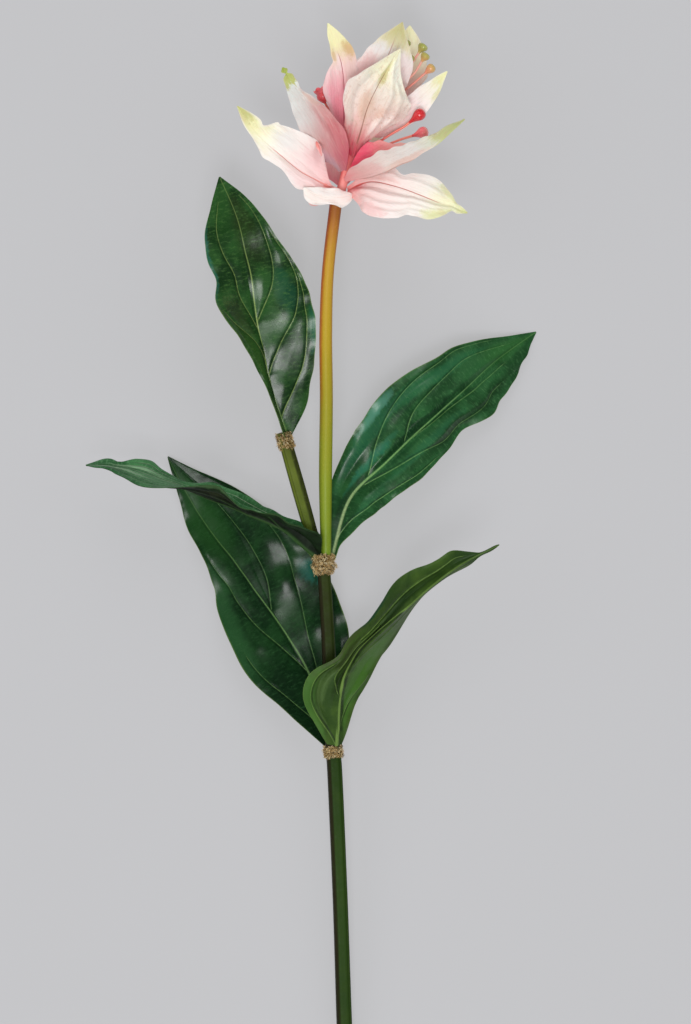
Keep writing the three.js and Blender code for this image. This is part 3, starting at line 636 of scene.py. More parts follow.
def across_blade(blade, share, out, half):
    """How far out from the midrib, and how far above it, a half of a blade runs."""
    width = half_width(blade, share, half)
    fold = np.radians(along(of_half(blade, half, "fold"), share))
    curl = np.radians(along(of_half(blade, half, "curl", HARDLY_CURLED), share))
    height, waves, start = of_half(blade, half, "wave", NO_WAVE)
    swell = np.sqrt(np.sin(np.pi * np.minimum(1.15 * share, 1)))
    wave = height * out ** 2 * np.sin(2 * np.pi * (waves * share + start)) * swell
    across = width * (np.sin(fold + curl * out) - np.sin(fold)) / curl
    rise = width * (np.cos(fold) - np.cos(fold + curl * out)) / curl + wave
    return across, rise


class Sheet:
    """The grid of a blade: shares along its midrib and out from it, and the same laid flat, in mm."""

    def __init__(self, blade, form):
        half_outs = np.linspace(0, 1, form["columns"] + 1) ** form["crowding"]
        signed_out = np.concatenate([-half_outs[:0:-1], half_outs])[None, :]
        share = np.linspace(0, 1, form["rows"] + 1)[:, None]
        self.share, self.signed_out = np.broadcast_arrays(share, signed_out)
        self.out = np.abs(self.signed_out)
        self.left = self.signed_out < 0
        self.centre = along(blade["spine"], share[:, 0])
        self.length = np.linalg.norm(np.diff(self.centre, axis=0), axis=1).sum()
        self.width = np.where(
            self.left, half_width(blade, self.share, "left"), half_width(blade, self.share, "right"))
        self.flat_along = self.share * self.length
        self.flat_across = self.signed_out * self.width

    def line_distance(self, start, end, places):
        """The distance in millimetres from a line along the blade, and the progress along it."""
        progress = (self.share - start) / (end - start)
        place = along(places, progress)
        run = np.maximum(np.gradient(self.flat_along, axis=0), 1e-6)
        slope = np.gradient(place * self.width, axis=0) / run
        return (self.signed_out - place) * self.width / np.sqrt(1 + slope ** 2), progress


def drawn_veins(sheet, veins, nearest):
    """The distance to the nearest rib or vein, the ridge that the veins make, and for the finish the
    distance from each vein in widths of it."""
    ridge = np.zeros_like(sheet.share)
    layers = []
    for vein in veins:
        distance, progress = sheet.line_distance(*vein)
        present = soft_step(-0.02, 0.02, progress) * (1 - soft_step(0.85, 1.05, progress))
        nearest = np.minimum(nearest, np.abs(distance) + NO_VEIN_MM * (1 - present))
        vein_width = 0.5 - 0.2 * np.clip(progress, 0, 1)
        ridge = np.maximum(ridge, present * np.exp(-(distance / (2 * vein_width)) ** 2))
        layers.append(distance / vein_width + NO_VEIN_WIDTHS * np.sign(distance) * (1 - present))
    layers += [np.full_like(sheet.share, NO_VEIN_WIDTHS)] * (MOST_VEINS - len(layers))
    return nearest, ridge, layers


def long_folds(sheet, blade):
    """The height of a blade's long folds and round swells."""
    height_here = np.zeros_like(sheet.share)
    for start, end, places, height, spread in blade.get("folds", []):
        distance, progress = sheet.line_distance(start, end, places)
        present = soft_step(-0.1, 0.15, progress) * (1 - soft_step(0.85, 1.1, progress))
        height_here += height * present * np.exp(-(np.abs(distance) / spread) ** 1.5)
    for place, out, height, spread in blade.get("swells", []):
        far = ((sheet.share - place) * sheet.length) ** 2 + ((sheet.signed_out - out) * sheet.width) ** 2
        height_here += height * np.exp(-far / spread ** 2)
    return height_here


def fine_relief(sheet, blade, form, seed, nearest):
    """Pillows that meet in creases at the veins, soft crinkles and a frilled rim."""
    flat_along, flat_across = sheet.flat_along, sheet.flat_across
    fullness = 0.75 + 0.35 * ripples(seed + 90, flat_along, flat_across, 45)
    between_veins = 1 - np.exp(-nearest / form["pillow_reach"])
    pillow = blade.get("pillow", form["pillow"]) * fullness * between_veins
    crinkle = form["crinkle"] * ripples(seed, flat_along, flat_across, form["crinkle_length"])
    crinkle += form["crease"] * ripples(seed + 50, 0.4 * flat_along, flat_across, form["crease_length"])
    frill = blade.get("frill", form["frill"]) * sheet.out ** 4 * np.sin(
        2 * np.pi * flat_along / form["frill_length"] + 3 * np.sin(flat_along / 31 + seed))
    inside_rim = 1 - soft_step(0.8, 1.0, sheet.out)
    off_the_ends = np.sin(np.pi * sheet.share) ** 0.5
    return off_the_ends * (pillow * inside_rim + crinkle + frill)


def blade_part(blade, form, seed):
    """Points, faces and fields of one blade."""
    sheet = Sheet(blade, form)
    share, signed_out = sheet.share, sheet.signed_out
    rib_distance = (signed_out - along(blade.get("rib", MIDDLE), share)) * sheet.width
    rib_width = along(blade.get("rib_width", form["rib_width"]), share)
    nearest, vein_ridge, layers = drawn_veins(sheet, blade.get("veins", []), np.abs(rib_distance))

    tangent = direction_along(blade["spine"], share[:, 0])
    face = along(blade["face"], share[:, 0])
    normal = unit(face - (face * tangent).sum(1, keepdims=True) * tangent)
    side = np.cross(tangent, normal)
    across_left, rise_left = across_blade(blade, share, sheet.out, "left")
    across_right, rise_right = across_blade(blade, share, sheet.out, "right")
    across = np.where(sheet.left, -across_left, across_right)
    rise = np.where(sheet.left, rise_left, rise_right)
    rise = rise + long_folds(sheet, blade) + fine_relief(sheet, blade, form, seed, nearest)
    grid = sheet.centre[:, None] + across[..., None] * side[:, None] + rise[..., None] * normal[:, None]
    outward = unit(np.cross(np.gradient(grid, axis=1), np.gradient(grid, axis=0)))

    rib_ridge = np.exp(-(rib_distance / (0.75 * rib_width)) ** 2)
    edge, middle = form["edge"], form["middle"]
    thickness = middle + (edge - middle) * np.minimum(2 * sheet.out, 1)
    under = thickness / 2 + form["rib_below"] * rib_width * rib_ridge + form["vein_below"] * vein_ridge
    over = thickness / 2 + form["rib_above"] * rib_width * rib_ridge - 0.3 * vein_ridge
    upper = grid + over[..., None] * outward
    lower = grid - under[..., None] * outward
    upper[..., 2] = np.maximum(upper[..., 2], LOWEST + edge)
    lower[..., 2] = np.maximum(lower[..., 2], LOWEST)
    points, faces = closed_sheet(upper, lower)

    def both(on_upper, on_lower=None):
        """A field's values on the upper face and then on the lower one."""
        on_lower = on_upper if on_lower is None else on_lower
        return np.concatenate([on_upper.reshape(-1), on_lower.reshape(-1)])

    # Where the finish is to take the blade for another stretch of its piece, it says so
    first, last = blade.get("counts_as", (0, 1))
    zero = np.zeros_like(share)
    upper_depth = zero + 10 * seed
    fields = {
        "place": [both(first + (last - first) * share), both(signed_out), both(zero + 1, zero)],
        "flat": [both(sheet.flat_along), both(sheet.flat_across), both(upper_depth, upper_depth + 5)],
        "veins_a": [both(layer) for layer in layers[:3]],
        "veins_b": [both(layer) for layer in layers[3:]],
    }
    fields = {name: np.stack(values, -1) for name, values in fields.items()}
    fields["rib"] = both(rib_distance / np.maximum(rib_width, 0.2))
    return points, faces, fields


def blade_piece(name, blade, form, finish, slot, seed):
    """A leaf or bract, with the small lobes that belong to it."""
    blades = [blade, *LOBES.get(name, [])]
    parts = [blade_part(one, form, seed + 7 * i) for i, one in enumerate(blades)]
    add_piece(name + "_blade", name, slot, finish, *joined(parts))


# Shader nodes


def srgb(code):
    """Linear colour of a hexadecimal screen colour."""
    channels = [(code >> shift & 255) / 255 for shift in (16, 8, 0)]
    linear = [c / 12.92 if c <= 0.04045 else ((c + 0.055) / 1.055) ** 2.4 for c in channels]
    return (*linear, 1.0)


class Value:
    """A socket, and the sums in which one that carries a number can be used."""

    def __init__(self, finish, socket):
        self.finish = finish
        self.socket = socket

    def maths(self, operation, *numbers):
        return self.finish.add("Math", {"operation": operation}, dict(enumerate(numbers)))

    def __add__(self, other):
        return self.maths("ADD", self, other)

    def __radd__(self, other):
        return self.maths("ADD", other, self)

    def __sub__(self, other):
        return self.maths("SUBTRACT", self, other)

    def __rsub__(self, other):
        return self.maths("SUBTRACT", other, self)

    def __mul__(self, other):
        return self.maths("MULTIPLY", self, other)

    def __rmul__(self, other):
        return self.maths("MULTIPLY", other, self)

    def __truediv__(self, other):
        return self.maths("DIVIDE", self, other)

    def __rtruediv__(self, other):
        return self.maths("DIVIDE", other, self)

    def __pow__(self, other):
        return self.maths("POWER", self, other)

    def __rpow__(self, other):
        return self.maths("POWER", other, self)

    def __abs__(self):
        return self.maths("ABSOLUTE", self)

    def greater(self, other):
        return self.maths("MAXIMUM", self, other)


class Finish:
    """A material, and the short ways in which its nodes are added."""

    def __init__(self, name, **constants):
        self.material = bpy.data.materials.new(name)
        self.material.use_nodes = True
        self.tree = self.material.node_tree
        self.shader = self.tree.nodes["Principled BSDF"]
        for socket, value in constants.items():
            self.shader.inputs[socket.replace("_", " ")].default_value = value

    def add(self, kind, settings, inputs, output=0):
        """A node of a kind: its settings first, then the values or links of its sockets."""
        node = self.tree.nodes.new("ShaderNode" + kind)
        for name, value in settings.items():
            if name == "stops":
                self.set_stops(node.color_ramp, value)
            else:
                setattr(node, name, value)
        for socket, value in inputs.items():
            self.feed(node.inputs[socket], value)
        return Value(self, node.outputs[output])

    def set_stops(self, ramp, stops):
        while len(ramp.elements) < len(stops):
            ramp.elements.new(1.0)
        for element, (place, colour) in zip(ramp.elements, stops.items()):
            element.position = place
            element.color = srgb(colour)

    def feed(self, socket, value):
        if isinstance(value, Value):
            self.tree.links.new(value.socket, socket)
        else:
            socket.default_value = value

    def finish_with(self, **inputs):
        for socket, value in inputs.items():
            self.feed(self.shader.inputs[socket.replace("_", " ")], value)
        return self.material

    def field(self, name, output="Vector"):
        return self.add("Attribute", {"attribute_name": name}, {}, output)

    def position(self):
        return self.add("NewGeometry", {}, {}, "Position")

    def parts(self, vector):
        node = self.add("SeparateXYZ", {}, {0: vector}).socket.node
        return [Value(self, socket) for socket in node.outputs]

    def scaled(self, vector, factors):
        return self.add("VectorMath", {"operation": "MULTIPLY"}, {0: vector, 1: factors})

    def ramp(self, factor, stops):
        """The colour at a place on a ramp, whose stops are {place: hexadecimal screen colour}."""
        return self.add("ValToRGB", {"stops": stops}, {0: factor})

    def between(self, value, low, high, to_low=0.0, to_high=1.0):
        """A soft step from one number to another, as a value goes from low to high."""
        return self.add(
            "MapRange", {"interpolation_type": "SMOOTHSTEP"},
            {"Value": value, "From Min": low, "From Max": high, "To Min": to_low, "To Max": to_high},
        )

    def mix(self, factor, first, second):
        """The first colour, with a share of the second over it. Each is a socket, a linear colour or
        a hexadecimal screen colour."""
        first, second = (srgb(one) if isinstance(one, int) else one for one in (first, second))
        return self.add("Mix", {"data_type": "RGBA"}, {0: factor, 6: first, 7: second}, 2)

    def noise(self, vector, scale, detail, roughness=0.55, distortion=0.0):
        return self.add(
            "TexNoise", {},
            {"Vector": vector, "Scale": scale, "Detail": detail, "Roughness": roughness,
             "Distortion": distortion},
        )

    def bump(self, height, strength, distance):
        return self.add("Bump", {}, {"Height": height, "Strength": strength, "Distance": distance})


def line_mask(finish, distance, width):
    """1 on a line and 0 beyond its width, from the distance to it."""
    return 1 - finish.between(abs(distance), 0.25 * width, width)


# Leaf finish

VEIN = 0x8DA35A
PALE_VEIN = 0x7E9A4A


def washed(finish, colour, share, signed_out, washes):
    """Soft patches of other colours over one: [place along, place out, spread along, spread out,
    colour, strength] each."""
    for place, out, spread_along, spread_out, wash, strength in washes:
        far = ((share - place) / spread_along) ** 2 + ((signed_out - out) / spread_out) ** 2
        colour = finish.mix(finish.between(far, 1.0, 0.0, 0.0, strength), colour, wash)
    return colour


def deepened(code):
    """The linear colour of a narrow shaded fold in a surface of this screen colour."""
    return (*(0.4 * channel for channel in srgb(code)[:3]), 1.0)


def leaf_finish(
    name, *, dark, light, fleck, rib_base, gloss, sheen, relief, vein=VEIN, under_vein=PALE_VEIN,
    under_dark=0x2A3E1C, under_light=0x3E5A28, washes=(), under_washes=(),
):
    """Rib_base is the colour of the midrib near the stem, gloss how rough the shine is, and relief how
    strongly the small unevenness shows."""
    finish = Finish(name, Specular_IOR_Level=sheen)
    share, signed_out, upper = finish.parts(finish.field("place"))
    flat = finish.field("flat")
    rib = finish.field("rib", "Fac")
    veins = [*finish.parts(finish.field("veins_a")), *finish.parts(finish.field("veins_b"))]
    cloud = finish.noise(flat, 0.045, 3, 0.6, 0.4)
    blotch = finish.noise(flat, 0.14, 4, 0.65, 0.6)
    grain = finish.noise(flat, 1.1, 3, 0.7)
    flecks = finish.noise(finish.scaled(flat, (1.0, 0.3, 1.0)), 0.85, 3, 0.62, 0.5)
    rungs = finish.add(
        "TexWave", {"wave_type": "BANDS", "bands_direction": "X", "wave_profile": "SIN"},
        {"Vector": flat, "Scale": 0.075, "Distortion": 9.0, "Detail": 4.0, "Detail Scale": 1.3,
         "Detail Roughness": 0.7}, "Fac")
    wobble = (blotch - 0.5) * 0.1
    worn = finish.between(finish.noise(flat, 0.3, 2), 0.3, 0.62, 0.45, 1.0)

    # Lines, and the shade beside each
    rung_lines = finish.between(rungs, 0.82, 1.0) * finish.between(flecks, 0.4, 0.6)
    rib_line = line_mask(finish, rib, 0.8)
    vein_lines = functools.reduce(Value.greater, [line_mask(finish, line, 1.15) for line in veins])
    shades = functools.reduce(Value.greater, [
        *(line_mask(finish, line + 2.6, 2.2) for line in veins), line_mask(finish, rib + 1.6, 1.4)])
    shades = shades * finish.between(share, 0.95, 0.6, 0.1, 1.0)

    # The upper face
    top = finish.mix(finish.between(cloud, 0.38, 0.64), dark, light)
    top = finish.mix(finish.between(grain, 0.45, 0.7) * 0.35, top, dark)
    top = washed(finish, top, share + wobble, signed_out + 2 * wobble, washes)
    flecked = finish.between(flecks, 0.52, 0.7) * finish.between(blotch, 0.35, 0.65, 0.12, 0.42)
    top = finish.mix(flecked, top, fleck)
    top = finish.mix(rung_lines * 0.22, top, fleck)
    top = finish.mix(shades * finish.between(blotch, 0.3, 0.6, 0.2, 0.55), top, deepened(dark))
    top = finish.mix(vein_lines * finish.between(share, 0.1, 0.95, 0.9, 0.45) * worn * 0.75, top, vein)
    rib_colour = finish.mix(finish.between(share + wobble, 0.08, 0.34), rib_base, vein)
    rib_colour = finish.mix(finish.between(flecks, 0.45, 0.65) * 0.35, rib_colour, light)
    top = finish.mix(rib_line * finish.between(share, 0.35, 0.85, 0.9, 0.35), top, rib_colour)

    # The underside
    under = finish.mix(finish.between(cloud, 0.36, 0.66), under_dark, under_light)
    under = finish.mix(finish.between(flecks, 0.5, 0.7) * 0.2, under, under_light)
    under = washed(finish, under, share + wobble, signed_out + 2 * wobble, under_washes)
    under = finish.mix(shades * finish.between(blotch, 0.3, 0.6, 0.35, 0.8), under, deepened(under_dark))
    under = finish.mix(vein_lines * worn * 0.5, under, under_vein)
    under = finish.mix(rib_line * finish.between(share, 0.3, 1.0, 0.85, 0.3), under, under_vein)

    colour = finish.mix(upper, under, top)
    colour = finish.mix(finish.between(abs(signed_out), 0.972, 1.0) * 0.3, colour, under_vein)
    rough = finish.between(blotch, 0.3, 0.7, gloss, 1.35 * gloss) + (1 - upper) * 0.16
    height = (
        vein_lines * (0.4 - upper * 0.75)
        + rung_lines * (0.1 - upper * 0.16)
        + flecks * (0.2 - upper * 0.13)
        + grain * (0.08 - upper * 0.05)
        + blotch * (0.25 - upper * 0.17)
    )
    normal = finish.bump(height, relief, 0.8 * MM)
    return finish.finish_with(Base_Color=colour, Roughness=rough, Normal=normal)


# Bract finish


def bract_finish(
    name, *, inner, outer, line, left_outer=None, washes=(), line_from=0.0, line_to=0.6, line_width=0.8,
    blotched=0.1, pale_edge=0.4, lumps=0.0,
):
    """Inner and outer are the colours of the two faces from base to tip, and left_outer those of the
    outer face's left half where it has its own. The line is the one along the midrib."""
    finish = Finish(name, Specular_IOR_Level=0.25, Subsurface_Weight=0.12, Subsurface_Scale=0.003)
    finish.shader.inputs["Subsurface Radius"].default_value = (1.0, 0.55, 0.5)
    share, signed_out, upper = finish.parts(finish.field("place"))
    flat = finish.field("flat")
    rib = finish.field("rib", "Fac")
    streaks = finish.noise(finish.scaled(flat, (0.14, 1.0, 1.0)), 0.4, 4, 0.62, 0.6)
    cloud = finish.noise(flat, 0.07, 3, 0.6, 0.3)
    mottle = finish.noise(flat, 0.3, 4, 0.65, 0.5)
    grain = finish.noise(flat, 1.6, 2, 0.6)
    threads = finish.noise(finish.scaled(flat, (0.07, 1.0, 1.0)), 1.0, 3, 0.6, 0.4)
    reach = share + (streaks - 0.5) * 0.16 + (mottle - 0.5) * 0.1
    inside = finish.ramp(reach, inner)
    outside = finish.ramp(reach, outer)
    if left_outer is not None:
        right_half = finish.between(signed_out + (streaks - 0.5) * 0.8, -0.95, 0.8)
        outside = finish.mix(right_half, finish.ramp(reach, left_outer), outside)
    colour = finish.mix(upper, outside, inside)
    wobble = (mottle - 0.5) * 0.16
    edge = finish.between(abs(signed_out) + 2 * wobble, 0.62, 1.0) * finish.between(share, 0.1, 0.4)
    colour = finish.mix(edge * pale_edge, colour, 0xF5ECE8)
    colour = washed(finish, colour, share + wobble, signed_out + 2 * wobble, washes)
    colour = finish.mix(finish.between(mottle, 0.5, 0.74) * blotched, colour, 0xB98468)
    colour = finish.mix(finish.between(streaks, 0.52, 0.72) * 0.2, colour, 0xDDA09A)
    colour = finish.mix(finish.between(threads, 0.54, 0.68) * 0.16, colour, 0xC08878)
    line_here = (
        line_mask(finish, rib, line_width)
        * finish.between(share, line_from, line_from + 0.05)
        * finish.between(share, line_to - 0.14, line_to, 1.0, 0.0)
        * finish.between(streaks, 0.25, 0.5, 0.6, 1.0)
    )
    colour = finish.mix(line_here * 0.8, colour, line)
    freckles = finish.add(
        "TexVoronoi", {"feature": "F1"}, {"Vector": flat, "Scale": 0.045, "Randomness": 1.0}, "Distance")
    freckle = 1 - finish.between(freckles, 0.012, 0.022)
    colour = finish.mix(freckle * 0.8, colour, 0x7A3038)
    height = (
        streaks * (0.7 + lumps)
        + threads * 0.3
        + mottle * (0.35 + lumps)
        + grain * 0.08
        + cloud * 0.6
        - line_here * 0.6
    )
    normal = finish.bump(height, 0.75, 1.0 * MM)
    rough = finish.between(cloud, 0.3, 0.7, 0.52, 0.66)
    return finish.finish_with(Base_Color=colour, Roughness=rough, Normal=normal)


# Stem finishes


def stem_finish(name, *, body, ridge, painted_groove_shade, strip, strip_turn, strip_half):
    """A four-angled stem: its corners painted lighter as a highlight, the grooves beside them painted
    darker as shade, and a strip of another colour at a turn round it, to a half angle on either side,
    both in degrees."""
    finish = Finish(name, Specular_IOR_Level=0.08)
    turn_x, turn_y, share = finish.parts(finish.field("around"))
    position = finish.position()
    grain = finish.noise(finish.scaled(position, (1.0, 0.12, 1.0)), 900, 3, 0.6)
    speckle = finish.noise(position, 420, 3, 0.65)
    cloud = finish.noise(position, 45, 3, 0.6)
    squared = turn_x * turn_x
    fourfold = 8 * squared * squared - 8 * squared + 1
    colour = finish.ramp(share, body)
    colour = finish.mix(finish.between(cloud, 0.4, 0.7) * 0.35, colour, ridge)
    # Painted highlight on the corners, and painted shade in the grooves beside them
    colour = finish.mix(finish.between(fourfold, 0.75, 1.0) * 0.35, colour, ridge)
    painted_groove_mask = finish.between(fourfold, 0.2, 0.65, 0.0, 0.35) * finish.between(fourfold, 0.95, 0.7)
    colour = finish.mix(painted_groove_mask, colour, painted_groove_shade)
    turn, half = math.radians(strip_turn), math.radians(strip_half)
    facing = turn_x * math.cos(turn) + turn_y * math.sin(turn)
    on_strip = finish.between(facing, math.cos(half), math.cos(0.6 * half))
    colour = finish.mix(on_strip * finish.between(grain, 0.2, 0.6, 0.55, 0.95), colour, strip)
    colour = finish.mix(finish.between(speckle, 0.6, 0.74) * 0.3, colour, ridge)
    height = grain * 0.35 + speckle * 0.12 + cloud * 0.4
    normal = finish.bump(height, 0.5, 0.5 * MM)
    rough = finish.between(speckle, 0.3, 0.7, 0.42, 0.58)
    return finish.finish_with(Base_Color=colour, Roughness=rough, Normal=normal)


def stalk_finish(name, *, stops, flush_stops):
    """A round stalk whose colour runs along it, with a redder flush on the side that faces left."""
    finish = Finish(name, Specular_IOR_Level=0.25)
    turn_x, _, share = finish.parts(finish.field("around"))
    position = finish.position()
    grain = finish.noise(finish.scaled(position, (1.0, 0.08, 1.0)), 1100, 3, 0.6)
    cloud = finish.noise(position, 60, 3, 0.6)
    speckle = finish.noise(position, 700, 2, 0.6)
    reach = share + (cloud - 0.5) * 0.08 + (grain - 0.5) * 0.05
    colour = finish.ramp(reach, stops)
    flush = finish.ramp(reach, flush_stops)
    colour = finish.mix(finish.between(turn_x + (grain - 0.5) * 0.4, -0.3, -0.85) * 0.95, colour, flush)
    colour = finish.mix(finish.between(turn_x, 0.6, 1.0) * 0.45, colour, flush)
    colour = finish.mix(finish.between(speckle, 0.62, 0.75) * 0.2, colour, 0xD9B45A)
    height = grain * 0.3 + speckle * 0.08 + cloud * 0.3
    normal = finish.bump(height, 0.4, 0.4 * MM)
    rough = finish.between(cloud, 0.3, 0.7, 0.38, 0.5)
    return finish.finish_with(Base_Color=colour, Roughness=rough, Normal=normal)


def fibre_finish():
    finish = Finish("curled_fibre", Specular_IOR_Level=0.2)
    strand, progress, _ = finish.parts(finish.field("strand"))
    position = finish.position()
    fleck = finish.noise(position, 900, 2, 0.6)
    # Dark at the low end for the core and the deep strands, which is painted shade, and light for the
    # outer ones
    colour = finish.ramp(strand, {
        0.0: 0x3A2E1C, 0.2: 0x7A6238, 0.45: 0xB8965C, 0.7: 0xDCC28C, 0.9: 0xF2E8C0, 1.0: 0xD8B07C,
    })
    colour = finish.mix(fleck * 0.2, colour, 0x7A6644)
    colour = finish.mix(finish.between(progress, 0.4, 1.0) * strand * 0.35, colour, 0xE0D4AA)
    normal = finish.bump(fleck, 0.4, 0.2 * MM)
    rough = finish.between(fleck, 0.3, 0.7, 0.75, 0.9)
    return finish.finish_with(Base_Color=colour, Roughness=rough, Normal=normal)


def bud_finish():
    finish = Finish(
        "glossy_bud", Specular_IOR_Level=0.6, Subsurface_Weight=0.1, Subsurface_Scale=0.002,
        Coat_Roughness=0.1)
    progress, ripeness, is_bud = finish.parts(finish.field("bud"))
    position = finish.position()
    cloud = finish.noise(position, 260, 3, 0.6)
    speckle = finish.noise(position, 1500, 2, 0.6)
    ripe = ripeness + (cloud - 0.5) * 0.25 - (progress - 0.45) * (1.15 - ripeness) * 0.55
    skin = finish.ramp(ripe, {
        0.0: 0xAAAC58, 0.22: 0xBEAE60, 0.4: 0xE0AC70, 0.58: 0xF29880, 0.76: 0xF47A80, 0.9: 0xE6484E,
        1.0: 0xCB2A30,
    })
    stalk = finish.ramp(progress + (cloud - 0.5) * 0.3, {0.0: 0xE05068, 0.5: 0xF08074, 1.0: 0xEE9078})
    stalk = finish.mix(finish.between(ripeness, 0.7, 0.3) * 0.6, stalk, 0xEEC0AE)
    colour = finish.mix(is_bud, stalk, skin)
    colour = finish.mix(finish.between(speckle, 0.62, 0.72) * 0.2, colour, 0xF4B49C)
    normal = finish.bump(cloud * 0.6 + speckle * 0.15, 0.35, 0.4 * MM)
    rough = finish.between(cloud, 0.3, 0.7, 0.2, 0.3) + (1 - is_bud) * 0.2
    return finish.finish_with(Base_Color=colour, Roughness=rough, Normal=normal, Coat_Weight=is_bud * 0.9)


# Stems, tufts and buds

UP = [0, 0, 1.0]
STEM_SIDES = 56
TUFT_SIDES = 48
TUFT_LEVELS = 13
# A strand of fibre: its knots and sides, and in millimetres the step between knots and its radius, each
# from least to most. A third of the strands is held loosely at its depth in the wad.
STRAND_KNOTS = 12
STRAND_SIDES = 3
STRAND_STEP = (0.4, 0.7)
STRAND_RADIUS = (0.08, 0.15)
STRAND_BEND = (0.4, 1.1)
STRAND_HOLDS = [0.25, 0.8, 0.8]


def tube_rings(path, radii, sides, steps, corners=0.0, corner_turn=0.0):
    """Rings round a path, and for each point the cosine and sine of its turn from the first corner and
    its share of the path."""
    share = np.linspace(0, 1, steps + 1)
    tangent = direction_along(path, share)
    level = np.cross(tangent, UP)
    level[np.linalg.norm(level, axis=1) < 0.05] = [1, 0, 0]
    level = unit(level)
    upright = np.cross(level, tangent)
    turn = np.linspace(0, 2 * np.pi, sides, endpoint=False)
    from_corner = turn - corner_turn
    shape = (1 + corners) * (1 + corners * np.cos(4 * from_corner))
    radius = along(radii, share)[:, None] * shape[None]
    rings = round_about(along(path, share)[:, None], level[:, None], upright[:, None], radius, turn)
    around = np.stack(np.broadcast_arrays(np.cos(from_corner), np.sin(from_corner), share[:, None]), -1)
    return rings, around.reshape(-1, 3)


def stem_piece(name, finish, slot, corners):
    stem = STEMS[name]
    rings, around = tube_rings(
        stem["path"], stem["radii"], STEM_SIDES, stem["steps"], corners, CORNER_TURN if corners else 0)
    rings[..., 2] = np.maximum(rings[..., 2], LOWEST)
    add_piece(name + "_tube", name, slot, finish, *closed_tube(rings), {"around": around})


def tuft_piece(name, finish, seed):
    """A wad of curly fibre: a lumpy ring painted dark as shade, and many curled strands over it, painted
    darker the deeper they lie.
    """
    tuft = TUFTS[name]
    host = STEMS[tuft["on"]]
    random = np.random.default_rng(seed)
    ends = along(host["path"], [tuft["from"], tuft["to"]])
    foot = ends[0]
    height = np.linalg.norm(ends[1] - foot)
    axis = unit(ends[1] - foot)
    level = unit(np.cross(axis, UP))
    upright = np.cross(level, axis)
    inner = along(host["radii"], [tuft["from"], tuft["to"]]).max() + 0.2
    wall = tuft["wall"]

    def placed(angle, up, out):
        """Points at angles round the ring, heights up it and distances out from its axis."""
        return round_about(foot + up[..., None] * axis, level, upright, out, angle)

    def lump(angle, up, more=0):
        """How full the wad is at an angle round it and a height up it."""
        return ripples(seed + more, 5.0 * np.cos(angle) + up, 5.0 * np.sin(angle) - 0.6 * up, 7)

    # The ring, painted dark as the shade that shows in the gaps between the strands
    turn = np.linspace(0, 2 * np.pi, TUFT_SIDES, endpoint=False)[None, :]
    up = np.linspace(0.1, 0.9, TUFT_LEVELS)[:, None] * height
    body = np.sin(np.pi * np.linspace(0.06, 0.94, TUFT_LEVELS))[:, None] ** 0.5
    outline = inner - 0.1 + wall * body * (0.2 + 0.15 * lump(turn, up))
    core_points, core_faces = closed_tube(placed(*np.broadcast_arrays(turn, up), outline))
    parts = [(core_points, core_faces, {"strand": np.full((len(core_points), 3), 0.1)})]

    # The strands: each turns a little at every knot, and is held near its depth in the wad
    for _ in range(tuft["fibres"]):
        angle = random.uniform(0, 2 * np.pi)
        start = random.uniform(0.06, 0.94) * height
        lowest = height * (0.02 + 0.14 * lump(angle, 0.0, 1))
        highest = height * (0.98 + 0.14 * lump(angle, 0.0, 2))
        rounded = 0.4 + 0.6 * math.sin(math.pi * start / height)
        fullness = rounded * (1 + 0.4 * lump(angle, start))
        depth = random.uniform(0.15, 1.0) ** 0.8
        lies_out = wall * fullness * depth
        spot = placed(*np.array([angle, start, inner + lies_out]))
        heading = unit(random.normal(size=3))
        bend = unit(random.normal(size=3)) * random.uniform(*STRAND_BEND)
        step = random.uniform(*STRAND_STEP)
        hold = random.choice(STRAND_HOLDS)
        path = []
        for _ in range(STRAND_KNOTS):
            path.append(spot)
            offset = spot - foot
            up = offset @ axis
            radial = offset - up * axis
            out = np.linalg.norm(radial)
            pull_in = hold * max(out - inner - lies_out, 0) - 2.0 * max(inner + 0.1 - out, 0)
            pull_down = max(up - highest, 0) - max(lowest - up, 0)
            heading = unit(
                heading + np.cross(bend, heading) + random.normal(0, 0.2, 3)
                - pull_in * radial / out - 0.8 * pull_down * axis)
            spot = spot + step * heading
        radius = random.uniform(*STRAND_RADIUS)
        rings, around = tube_rings(
            path, [radius, radius, 0.5 * radius], STRAND_SIDES, STRAND_KNOTS - 1)
        progress = around[:, 2]
        # Strands that lie deeper in the wad are painted darker, as shade
        shade = min(max(0.75 * depth + random.normal(0, 0.3), 0.05), 1.0)
        strand = np.stack([0 * progress + shade, progress, 0 * progress], -1)
        parts.append((*closed_tube(rings), {"strand": strand}))
    points, faces, fields = joined(parts)
    points[:, 2] = np.maximum(points[:, 2], 2 * LOWEST)
    add_piece(name + "_fibres", name, "fibre_tan", finish, points, faces, fields)


# A bud's outline from its base to its end, as shares of its radius and its length. The stalk runs into
# the bud, and the crown of the goblet stands up, by the shares of the length below.
DROP = [
    [0.24, 0], [0.3, 0.12], [0.46, 0.26], [0.72, 0.42], [0.94, 0.58], [1.0, 0.72], [0.86, 0.88],
    [0.5, 0.98], [0.3, 0.965], [0.0, 0.95],
]
GOBLET = [
    [0.2, 0], [0.45, 0.1], [0.78, 0.3], [0.95, 0.5], [0.86, 0.68], [0.74, 0.78], [0.8, 0.88],
    [0.92, 1.0], [0.66, 0.93], [0.3, 0.86], [0.0, 0.84],
]
STALK_SIDES = 14
STALK_STEPS = 40
BUD_SIDES = 30
BUD_RINGS = 44
CROWN_POINTS = 5
CROWN_HEIGHT = 0.12
IN_BUD = 0.12


